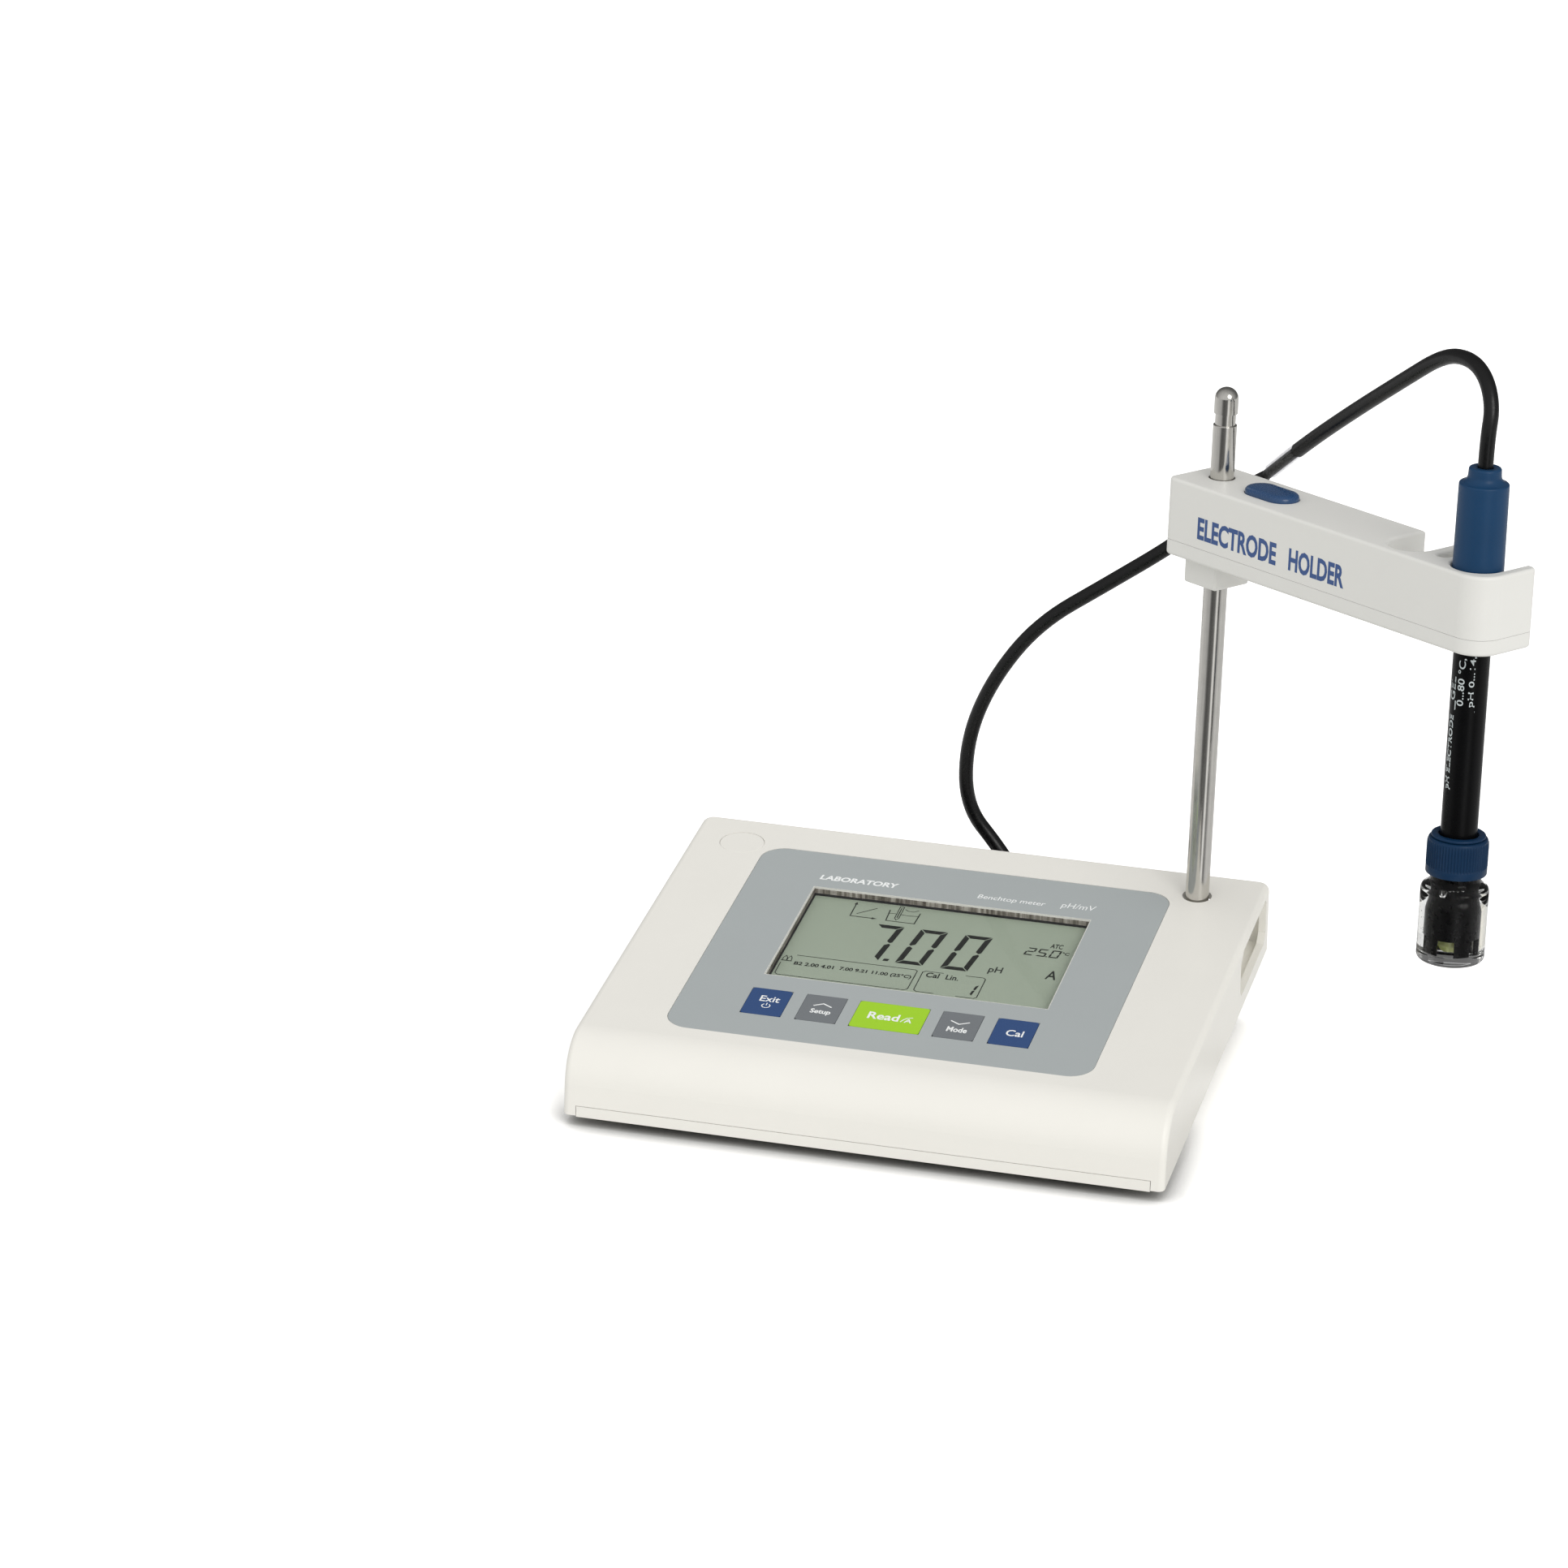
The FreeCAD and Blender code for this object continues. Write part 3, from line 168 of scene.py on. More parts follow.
class Ink:
    """Flat printed shapes gathered into one mesh: polygons, strokes, digits and lettering."""

    def __init__(self):
        self.points = []
        self.faces = []

    def polygon(self, corners):
        first = len(self.points)
        self.points.extend(corners)
        self.faces.append(tuple(range(first, first + len(corners))))

    def stroke(self, path, width, closed=False):
        """A line of even width through the points, with mitred corners."""
        spots = [Vector(p) for p in path]
        count = len(spots)
        sides = []
        for i, spot in enumerate(spots):
            before = spots[i - 1] if i > 0 or closed else None
            after = spots[(i + 1) % count] if i < count - 1 or closed else None
            into = (spot - before).normalized() if before is not None else None
            out = (after - spot).normalized() if after is not None else None
            into = into or out
            out = out or into
            normal_in = Vector((-into.y, into.x))
            normal_out = Vector((-out.y, out.x))
            miter = (normal_in + normal_out).normalized()
            reach = width / 2 / max(0.35, miter.dot(normal_in))
            sides.append((spot + miter * reach, spot - miter * reach))
        last = count if closed else count - 1
        for i in range(last):
            j = (i + 1) % count
            self.polygon([sides[i][0], sides[j][0], sides[j][1], sides[i][1]])

    def digit(self, figure, left, low, wide, high, thick, slant):
        """A seven-segment figure; slant is how far its top leans to the right."""
        gap = 0.11 * thick
        middle = high / 2
        t = thick
        shapes = {
            "a": [(gap, high), (wide - gap, high), (wide - t, high - t), (t, high - t)],
            "d": [(gap, 0), (wide - gap, 0), (wide - t, t), (t, t)],
            "f": [(0, high - gap), (t - gap, high - t - gap), (t - gap, middle + t * 0.62),
                  (t * 0.3, middle + gap), (0, middle + t * 0.45)],
            "e": [(0, gap), (t - gap, t + gap), (t - gap, middle - t * 0.62),
                  (t * 0.3, middle - gap), (0, middle - t * 0.45)],
            "b": [(wide, high - gap), (wide - t + gap, high - t - gap),
                  (wide - t + gap, middle + t * 0.62), (wide - t * 0.3, middle + gap),
                  (wide, middle + t * 0.45)],
            "c": [(wide, gap), (wide - t + gap, t + gap), (wide - t + gap, middle - t * 0.62),
                  (wide - t * 0.3, middle - gap), (wide, middle - t * 0.45)],
            "g": [(t * 0.55, middle), (t, middle + t * 0.5), (wide - t, middle + t * 0.5),
                  (wide - t * 0.55, middle), (wide - t, middle - t * 0.5), (t, middle - t * 0.5)],
        }
        lit = {"0": "abcdef", "1": "bc", "2": "abged", "5": "afgcd", "7": "abc"}[figure]
        for name in lit:
            self.polygon([Vector((left + x + slant * y / high, low + y)) for x, y in shapes[name]])

    def lettering(self, words, left, right, low, high, bold=0.0, lean=0.0):
        """Text fitted to a box; low and high are those of its capitals or of its whole ink."""
        curve = bpy.data.curves.new("lettering", "FONT")
        curve.body = words
        curve.resolution_u = 3
        curve.offset = bold
        curve.shear = lean
        spots, faces = traced(curve)
        low_x = min(p.x for p in spots)
        high_x = max(p.x for p in spots)
        low_y = min(p.y for p in spots)
        high_y = max(p.y for p in spots)
        first = len(self.points)
        for p in spots:
            self.points.append(Vector((left + (p.x - low_x) / (high_x - low_x) * (right - left),
                                       low + (p.y - low_y) / (high_y - low_y) * (high - low))))
        self.faces += [tuple(first + i for i in face) for face in faces]

    def make(self, name, material, place):
        """The mesh object; place turns a flat point in mm into a point in the row frame."""
        return mesh_from(name, [place(p) for p in self.points], self.faces, material, smooth=False)


def on_slab(height):
    """Places flat points of the console's slab at a height above its underside."""
    return lambda p: SLAB @ Vector((p[0] * MM, p[1] * MM, height * MM))


# --- materials --------------------------------------------

def shader(name):
    material = bpy.data.materials.new(name)
    material.use_nodes = True
    tree = material.node_tree
    return material, tree, tree.nodes["Principled BSDF"]


def link(tree, source, target):
    tree.links.new(source, target)


def math_node(tree, operation, *values):
    """The result of a math node; each value is a number or the output that feeds it."""
    node = tree.nodes.new("ShaderNodeMath")
    node.operation = operation
    for socket, value in zip(node.inputs, values):
        if isinstance(value, (int, float)):
            socket.default_value = value
        else:
            link(tree, value, socket)
    return node.outputs[0]


def ranged(tree, value, low, high):
    """Maps low to high onto 0 to 1."""
    node = tree.nodes.new("ShaderNodeMapRange")
    node.inputs["From Min"].default_value = low
    node.inputs["From Max"].default_value = high
    link(tree, value, node.inputs["Value"])
    return node.outputs["Result"]


def axes(tree, vector):
    node = tree.nodes.new("ShaderNodeSeparateXYZ")
    link(tree, vector, node.inputs["Vector"])
    return node.outputs


def mixed_shaders(tree, share, first, second):
    """The first shader where share is 0, the second where it is 1."""
    node = tree.nodes.new("ShaderNodeMixShader")
    for source, socket in zip((share, first, second), node.inputs):
        link(tree, source, socket)
    return node.outputs["Shader"]


def by_ray(tree, others, camera, glossy):
    """One shader for the picture itself, one for mirrors and one for all other light."""
    path = tree.nodes.new("ShaderNodeLightPath")
    seen = mixed_shaders(tree, path.outputs["Is Camera Ray"], others, camera)
    return mixed_shaders(tree, path.outputs["Is Glossy Ray"], seen, glossy)


def noise(tree, scale, detail=2.0, stretch=None):
    """A noise texture in the piece's own coordinates, in metres, and perhaps stretched."""
    node = tree.nodes.new("ShaderNodeTexNoise")
    node.inputs["Scale"].default_value = scale
    node.inputs["Detail"].default_value = detail
    vector = tree.nodes.new("ShaderNodeTexCoord").outputs["Object"]
    if stretch is not None:
        mapping = tree.nodes.new("ShaderNodeMapping")
        mapping.inputs["Scale"].default_value = stretch
        link(tree, vector, mapping.inputs["Vector"])
        vector = mapping.outputs["Vector"]
    link(tree, vector, node.inputs["Vector"])
    return node.outputs["Fac"]


def ramp(tree, source, stops):
    """A colour ramp; stops are (place, colour), a colour being a grey number or three numbers."""
    node = tree.nodes.new("ShaderNodeValToRGB")
    points = node.color_ramp.elements
    while len(points) < len(stops):
        points.new(0.5)
    for point, (place, colour) in zip(points, stops):
        point.position = place
        values = (colour,) * 3 if isinstance(colour, (int, float)) else tuple(colour)
        point.color = values + (1.0,)
    link(tree, source, node.inputs["Fac"])
    return node.outputs["Color"]


def bump(tree, shaded, height, strength, distance):
    node = tree.nodes.new("ShaderNodeBump")
    node.inputs["Strength"].default_value = strength
    node.inputs["Distance"].default_value = distance
    link(tree, height, node.inputs["Height"])
    link(tree, node.outputs["Normal"], shaded.inputs["Normal"])


def scaled(colour, factor):
    return tuple(min(1.0, c * factor) for c in colour)


def moulded(name, colour, roughness=0.42, grain=2200.0, depth=0.012, vary=0.007, blotch=45.0,
            rough_vary=0.06, **more):
    """Moulded plastic: faint blotches of colour, uneven gloss and a fine eroded texture."""
    material, tree, principled = shader(name)
    wide = noise(tree, blotch, 3.0)
    link(tree, ramp(tree, wide, [(0.3, scaled(colour, 1 - vary)), (0.7, scaled(colour, 1 + vary))]),
         principled.inputs["Base Color"])
    fine = noise(tree, grain, 2.0)
    link(tree, ramp(tree, fine, [(0.35, roughness - rough_vary), (0.65, roughness + rough_vary)]),
         principled.inputs["Roughness"])
    bump(tree, principled, fine, 1.0, depth * MM)
    for key, value in more.items():
        principled.inputs[key.replace("_", " ")].default_value = value
    return material


def brushed(name, colour, roughness=0.28, along=(400, 400, 9000), dark=0.7, depth=0.004,
            anisotropy=0.6, blotch=220.0, tangent="Z"):
    """Turned or brushed metal: fine lines along one direction and small stains."""
    material, tree, principled = shader(name)
    principled.inputs["Metallic"].default_value = 1.0
    lines = noise(tree, 1.0, 3.0, stretch=along)
    stains = noise(tree, blotch, 4.0)
    mixed = math_node(tree, "MULTIPLY_ADD", lines, 0.6, math_node(tree, "MULTIPLY", stains, 0.4))
    link(tree, ramp(tree, mixed, [(0.3, scaled(colour, dark)), (0.62, colour)]),
         principled.inputs["Base Color"])
    link(tree, ramp(tree, lines, [(0.3, roughness * 0.75), (0.7, roughness * 1.3)]),
         principled.inputs["Roughness"])
    principled.inputs["Anisotropic"].default_value = anisotropy
    way = tree.nodes.new("ShaderNodeTangent")
    way.direction_type = "RADIAL"
    way.axis = tangent
    link(tree, way.outputs["Tangent"], principled.inputs["Tangent"])
    bump(tree, principled, lines, 1.0, depth * MM)
    return material


def clear_film(name, ior=1.49, tint=(1.0, 1.0, 1.0), roughness=0.03):
    """A thin clear sheet: what is behind it shows, and it gleams by its Fresnel reflection."""
    material, tree, principled = shader(name)
    tree.nodes.remove(principled)
    through = tree.nodes.new("ShaderNodeBsdfTransparent")
    through.inputs["Color"].default_value = tint + (1.0,)
    gleam = tree.nodes.new("ShaderNodeBsdfAnisotropic")
    gleam.inputs["Roughness"].default_value = roughness
    bend = tree.nodes.new("ShaderNodeFresnel")
    bend.inputs["IOR"].default_value = ior
    side = tree.nodes.new("ShaderNodeNewGeometry")
    near = math_node(tree, "SUBTRACT", 1.0, side.outputs["Backfacing"])
    share = math_node(tree, "MULTIPLY", bend.outputs["Fac"], near)
    mix = mixed_shaders(tree, share, through.outputs["BSDF"], gleam.outputs["BSDF"])
    link(tree, mix, tree.nodes["Material Output"].inputs["Surface"])
    bump(tree, gleam, noise(tree, 900.0, 2.0), 1.0, 0.0005 * MM)
    return material


def glassy(name, ior, tint=(1.0, 1.0, 1.0), roughness=0.0, wavy=0.0, gleam=1.0):
    """Solid glass or liquid that bends light, and lets lamps through to what is behind it."""
    material, tree, principled = shader(name)
    principled.inputs["Base Color"].default_value = tint + (1.0,)
    principled.inputs["Transmission Weight"].default_value = 1.0
    principled.inputs["Roughness"].default_value = roughness
    principled.inputs["IOR"].default_value = ior
    principled.inputs["Specular Tint"].default_value = (gleam, gleam, gleam, 1.0)
    if wavy:
        bump(tree, principled, noise(tree, 160.0, 1.0), 1.0, wavy * MM)
    path = tree.nodes.new("ShaderNodeLightPath")
    through = tree.nodes.new("ShaderNodeBsdfTransparent")
    through.inputs["Color"].default_value = tint + (1.0,)
    mix = mixed_shaders(tree, path.outputs["Is Shadow Ray"], principled.outputs["BSDF"],
                        through.outputs["BSDF"])
    link(tree, mix, tree.nodes["Material Output"].inputs["Surface"])
    return material


# How strongly the bottle's parts bend light, as set here. Real ones would be 1.5 for the glass,
# 0.893 from glass to liquid, 1.34 for the liquid and 0.75 from liquid to air.
GLASS_INDEX = 1.5
WALL_INDEX = 0.985
LIQUID_INDEX = 1.48
AIR_INDEX = 0.68

CASE = (0.81, 0.797, 0.75)
mat_case = moulded("case_plastic", CASE)
mat_arm = moulded("arm_plastic", (0.725, 0.723, 0.695))
mat_overlay = moulded("overlay_film", (0.388, 0.421, 0.426), roughness=0.5, grain=3800.0,
                      depth=0.006, vary=0.008, blotch=30.0)
mat_key_blue = moulded("key_blue", (0.026, 0.073, 0.215), roughness=0.42, grain=3600.0, depth=0.005)
mat_key_grey = moulded("key_grey", (0.175, 0.19, 0.205), roughness=0.45, grain=3600.0, depth=0.005)
mat_key_green = moulded("key_green", (0.36, 0.66, 0.012), roughness=0.42, grain=3600.0, depth=0.005)
mat_print_white = moulded("print_white", (0.86, 0.88, 0.88), roughness=0.5, grain=5000.0,
                          depth=0.002, vary=0.01)
mat_print_grey = moulded("print_grey", (0.5, 0.55, 0.56), roughness=0.5, grain=5000.0,
                         depth=0.002, vary=0.05)
mat_print_blue = moulded("print_blue", (0.035, 0.085, 0.25), roughness=0.45, grain=5000.0,
                         depth=0.002, vary=0.03)
mat_lcd_ink = moulded("crystal_dark", (0.012, 0.014, 0.012), roughness=0.5, grain=4000.0,
                      depth=0.001, vary=0.1)
mat_blue = moulded("dark_blue_plastic", (0.008, 0.045, 0.115), roughness=0.38, grain=1800.0,
                   depth=0.01, vary=0.06, Specular_IOR_Level=0.22)
mat_cap = moulded("cap_plastic", (0.003, 0.025, 0.07), roughness=0.4, grain=1800.0, depth=0.01,
                  vary=0.06, Specular_IOR_Level=0.2)
mat_button = moulded("button_plastic", (0.02, 0.062, 0.155), roughness=0.24, grain=2400.0,
                     depth=0.006, vary=0.05)
mat_shaft = moulded("shaft_plastic", (0.0025, 0.0025, 0.0028), roughness=0.3, grain=700.0,
                    depth=0.004, vary=0.15, rough_vary=0.04, Specular_IOR_Level=0.12)
mat_cable = moulded("cable_jacket", (0.0035, 0.0035, 0.0038), roughness=0.3, grain=900.0,
                    depth=0.008, vary=0.15, Specular_IOR_Level=0.32)
mat_black = moulded("socket_black", (0.012, 0.012, 0.012), roughness=0.4, grain=1500.0, depth=0.008)
mat_dark = moulded("dark_plastic", (0.02, 0.02, 0.021), roughness=0.55, grain=1200.0, depth=0.015)
mat_rubber = moulded("foot_rubber", (0.02, 0.02, 0.02), roughness=0.75, grain=900.0, depth=0.03)
mat_board = moulded("board_lacquer", (0.01, 0.10, 0.03), roughness=0.3, grain=600.0, depth=0.01,
                    vary=0.15)
mat_bush = moulded("bush_acetal", (0.62, 0.62, 0.6), roughness=0.35)
mat_washer = moulded("washer_silicone", (0.55, 0.55, 0.53), roughness=0.5)
mat_junction = moulded("junction_ceramic", (0.6, 0.58, 0.5), roughness=0.8, depth=0.03)
mat_steel = brushed("pole_steel", (0.62, 0.605, 0.57), roughness=0.15, along=(2600, 2600, 90),
                    dark=0.86, depth=0.0008, anisotropy=0.35)
mat_tin = brushed("tinned_sheet", (0.6, 0.6, 0.59), roughness=0.3, along=(3000, 300, 3000))
mat_screw = brushed("zinc_plate", (0.5, 0.5, 0.49), roughness=0.32)
mat_nickel = brushed("nickel_plate", (0.68, 0.66, 0.62), roughness=0.2, anisotropy=0.2,
                     along=(1500, 1500, 1500), dark=0.85, depth=0.002)
mat_turned = brushed("turned_metal", (0.62, 0.62, 0.62), roughness=0.3)
mat_window = clear_film("window_acrylic")
mat_tube = clear_film("sleeve_vinyl", ior=1.4, tint=(0.86, 0.86, 0.87), roughness=0.08)
mat_glass = glassy("bottle_glass", GLASS_INDEX, wavy=0.004, gleam=0.18)
mat_wetted = glassy("wetted_wall", WALL_INDEX, tint=(0.985, 0.99, 0.98), gleam=0.2)
mat_liquid = glassy("storage_liquid", LIQUID_INDEX, tint=(0.985, 0.99, 0.98))
mat_air = glassy("bubble_air", AIR_INDEX)


def make_lcd_material():
    """Grey-green liquid crystal, faintly cloudy; painted light at the front, painted shade at the
    rear.
    """
    material, tree, principled = shader("liquid_crystal")
    place = tree.nodes.new("ShaderNodeTexCoord")
    # painted light and shade: the colour runs from lighter at the front to darker at the rear
    depth = ranged(tree, axes(tree, place.outputs["Object"])["Y"], -0.02, 0.045)
    both = math_node(tree, "MULTIPLY_ADD", noise(tree, 35.0, 2.0), 0.25, depth)
    link(tree, ramp(tree, both, [(0.0, (0.375, 0.44, 0.35)), (1.0, (0.355, 0.42, 0.33))]),
         principled.inputs["Base Color"])
    link(tree, ramp(tree, noise(tree, 2600.0), [(0.3, 0.5), (0.7, 0.6)]),
         principled.inputs["Roughness"])
    return material


def make_bulb_material():
    """The thin membrane glass of the bulb, yellow-green, with the gel behind it showing."""
    material, tree, principled = shader("membrane_glass")
    tint = ramp(tree, noise(tree, 260.0, 2.0),
                [(0.35, (0.62, 0.7, 0.16)), (0.7, (0.92, 0.95, 0.62))])
    link(tree, tint, principled.inputs["Base Color"])
    principled.inputs["Transmission Weight"].default_value = 0.6
    principled.inputs["Roughness"].default_value = 0.08
    principled.inputs["IOR"].default_value = 1.2
    return material


mat_lcd = make_lcd_material()
mat_bulb = make_bulb_material()

for finish, nodes in (
        (mat_case, ("top_housing", "bottom_housing", "blind_plug")),
        (mat_arm, ("arm_upper_shell", "arm_lower_shell")),
        (mat_overlay, ("keypad_overlay",)),
        (mat_key_blue, ("key_exit", "key_cal")),
        (mat_key_grey, ("key_setup", "key_mode")),
        (mat_key_green, ("key_read",)),
        (mat_window, ("display_window",)),
        (mat_lcd, ("display_module",)),
        (mat_tin, ("key_domes", "input_shield", "inner_electrode")),
        (mat_board, ("main_board",)),
        (mat_screw, ("board_screws", "housing_screws", "pole_screw", "arm_screws", "lever_pin",
                     "clamp_lever", "button_spring")),
        (mat_rubber, ("rubber_feet",)),
        (mat_dark, ("rear_panel",)),
        (mat_nickel, ("bnc_socket", "serial_socket", "usb_socket")),
        (mat_black, ("temperature_socket", "reference_socket", "power_socket")),
        (mat_steel, ("pole",)),
        (mat_turned, ("pole_base",)),
        (mat_bush, ("guide_bush",)),
        (mat_shaft, ("electrode_shaft",)),
        (mat_bulb, ("glass_membrane",)),
        (mat_junction, ("junction_ring",)),
        (mat_washer, ("bottle_washer",))):
    for node in nodes:
        NODES[node].material_slots[0].material = finish


# --- cable ------------------------------------------------

ROUTE = [
    (128.7, -2.1, 229.5),
    (128.7, -2.1, 239.0),
    (129.3, 0.1, 248.5),
    (125.9, 5.6, 256.7),
    (119.6, 12.4, 260.5),
    (109.9, 21.5, 258.5),
    (95.0, 35.0, 245.0),
    (77.0, 51.5, 228.5),
    (58.0, 69.0, 210.0),
    (33.5, 90.5, 183.5),
    (12.0, 98.0, 163.0),
    (-12.0, 104.5, 144.3),
    (-36.7, 110.6, 125.5),
    (-53.1, 115.0, 101.5),
    (-61.7, 118.7, 77.6),
    (-61.1, 119.1, 53.5),
    (-48.5, 120.8, 38.6),
    (-37.5, 114.5, 26.5),
    (-19.5, 104.5, 18.8),
]
TAIL = [
    (-15.0, 158.5, 3.5),
    (-31.0, 153.5, 8.0),
    (-46.0, 145.0, 16.0),
    (-57.5, 133.0, 25.0),
    (-64.0, 119.5, 31.0),
    (-65.6, 106.0, 32.1),
    (-65.6, 92.0, 30.2),
]
ARM_SPLIT = (45.75, 79.75, 196.75)
POLE_SPLIT = (22.75, 94.25, 173.25)
COIL_MIDDLE = (0.0, 130.0)
TURNS = 3.5
PER_TURN = 16
CABLE = 2.5 * MM


def coil_points():
    """The put-away turns: one strand on top, two side by side and one below, ready for the tail."""
    places = [(30.0, 12.3), (32.9, 7.6), (27.1, 7.6), (30.0, 2.65)]
    swell = 1 / math.cos(math.pi / PER_TURN) ** 0.7
    found = []
    for i in range(int(TURNS * PER_TURN) + 1):
        turns = i / PER_TURN
        lap = min(int(turns + 0.5 / PER_TURN), len(places) - 1)
        here = places[lap]
        before = places[max(lap - 1, 0)]
        share = min(1.0, (turns - lap + 0.08) / 0.16) if lap else 1.0
        radius = before[0] + (here[0] - before[0]) * share
        height = before[1] + (here[1] - before[1]) * share
        if turns < 0.15:
            height += 2.3 * (1 - turns / 0.15)
        radius += 0.35 * math.sin(2 * math.pi * turns * 0.77 + 0.6)
        angle = 2 * math.pi * turns - math.pi / 2
        found.append((COIL_MIDDLE[0] + radius * swell * math.cos(angle),
                      COIL_MIDDLE[1] + radius * swell * math.sin(angle), height))
    return found


def spline_line(name, points):
    """Points read from a smooth NURBS spline whose control points are given in mm."""
    curve = bpy.data.curves.new(name, "CURVE")
    curve.dimensions = "3D"
    spline = curve.splines.new("NURBS")
    spline.points.add(len(points) - 1)
    for point, spot in zip(spline.points, points):
        point.co = (spot[0] * MM, spot[1] * MM, spot[2] * MM, 1.0)
    spline.order_u = 3
    spline.use_endpoint_u = True
    spline.resolution_u = 8
    return traced(curve)[0]


def tube(name, line, radii, material, steps=24):
    """A round tube along a line, with a radius at each of its points."""
    tangents = []
    for i in range(len(line)):
        a = line[max(i - 1, 0)]
        b = line[min(i + 1, len(line) - 1)]
        tangents.append((b - a).normalized())
    side = tangents[0].orthogonal().normalized()
    points = []
    for i, (spot, tangent) in enumerate(zip(line, tangents)):
        side = (side - tangent * side.dot(tangent)).normalized()
        up = tangent.cross(side)
        for k in range(steps):
            turn = 2 * math.pi * k / steps
            points.append(spot + (side * math.cos(turn) + up * math.sin(turn)) * radii[i])
    return mesh_from(name, points, capped(len(line), steps), material, crease=50.0)


def nearest(line, spot):
    target = Vector(spot) * MM
    return min(range(len(line)), key=lambda i: (line[i] - target).length)


def length_of(line):
    return sum((b - a).length for a, b in zip(line, line[1:]))


whole_line = spline_line("cable_route", ROUTE + coil_points() + TAIL)
arm_split = nearest(whole_line, ARM_SPLIT)
pole_split = nearest(whole_line, POLE_SPLIT)
upper_line = whole_line[:arm_split + 1]
arm_line = whole_line[arm_split:pole_split + 1]
lower_line = whole_line[pole_split:]

# The outer jacket ends under a clear sleeve beside the arm, and a thinner cable goes on inside it.
SLEEVE_TOP = Vector((55.06, 71.58, 206.82)) * MM
SLEEVE_END = Vector((46.24, 79.32, 197.28)) * MM
THIN = 1.75 * MM


def upper_cable():
    """The electrode's stretch: full jacket, a square end face, then the thinner inner cable."""
    start = nearest(upper_line, SLEEVE_TOP / MM)
    way = (upper_line[start + 1] - upper_line[start - 1]).normalized()
    cut = upper_line[start]
    line = upper_line[:start] + [cut, cut + way * 0.00001] + upper_line[start + 1:]
    radii = [CABLE] * (start + 1) + [THIN] * (len(line) - start - 1)
    return tube("cable_upper", line, radii, mat_cable), line


cable_upper, upper_drawn = upper_cable()
cable_arm = tube("cable_arm", arm_line, [THIN if (p - SLEEVE_END).length < 0.004 else CABLE
                                          for p in arm_line], mat_cable)
cable_lower = tube("cable_lower", lower_line, [CABLE] * len(lower_line), mat_cable)

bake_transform(cable_upper)
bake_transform(cable_arm)
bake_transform(cable_lower)
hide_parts("cable_head_run")
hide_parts("cable_arm_run")
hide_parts("cable_drop", "cable_coil", "cable_tail")


def make_sleeve():
    """The clear tube over the thinner cable: an outer and an inner wall, open at both ends."""
    way = SLEEVE_END - SLEEVE_TOP
    start = SLEEVE_TOP - way.normalized() * 0.0012
    steps = 10
    line = [start + (SLEEVE_END - start) * i / steps for i in range(steps + 1)]
    outer = 2.62 * MM
    inner = 2.2 * MM
    radii = [outer] * (steps + 1) + [inner] * (steps + 1)
    piece = tube("sleeve", line + line[::-1], radii, mat_tube)
    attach(piece, "arm")
    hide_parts("cable_sleeve")


make_sleeve()


# --- camera, floor and light ------------------------------

def aim_camera():
    azimuth = math.radians(13.99)
    elevation = math.radians(18.80)
    roll = math.radians(2.15)
    back = Vector((math.sin(azimuth) * math.cos(elevation),
                   -math.cos(azimuth) * math.cos(elevation), math.sin(elevation)))
    right = Vector((0, 0, 1)).cross(back).normalized()
    up = back.cross(right)
    x = right * math.cos(roll) + up * math.sin(roll)
    y = up * math.cos(roll) - right * math.sin(roll)
    data = bpy.data.cameras.new("camera")
    data.lens = 148.84
    data.sensor_width = 36.0
    data.clip_start = 0.05
    data.clip_end = 60.0
    camera = new_object("camera", data)
    turn = Matrix((x, y, back)).transposed().to_4x4()
    camera.matrix_world = Matrix.Translation((0.3956, -1.9774, 0.7890)) @ turn
    bpy.context.scene.camera = camera


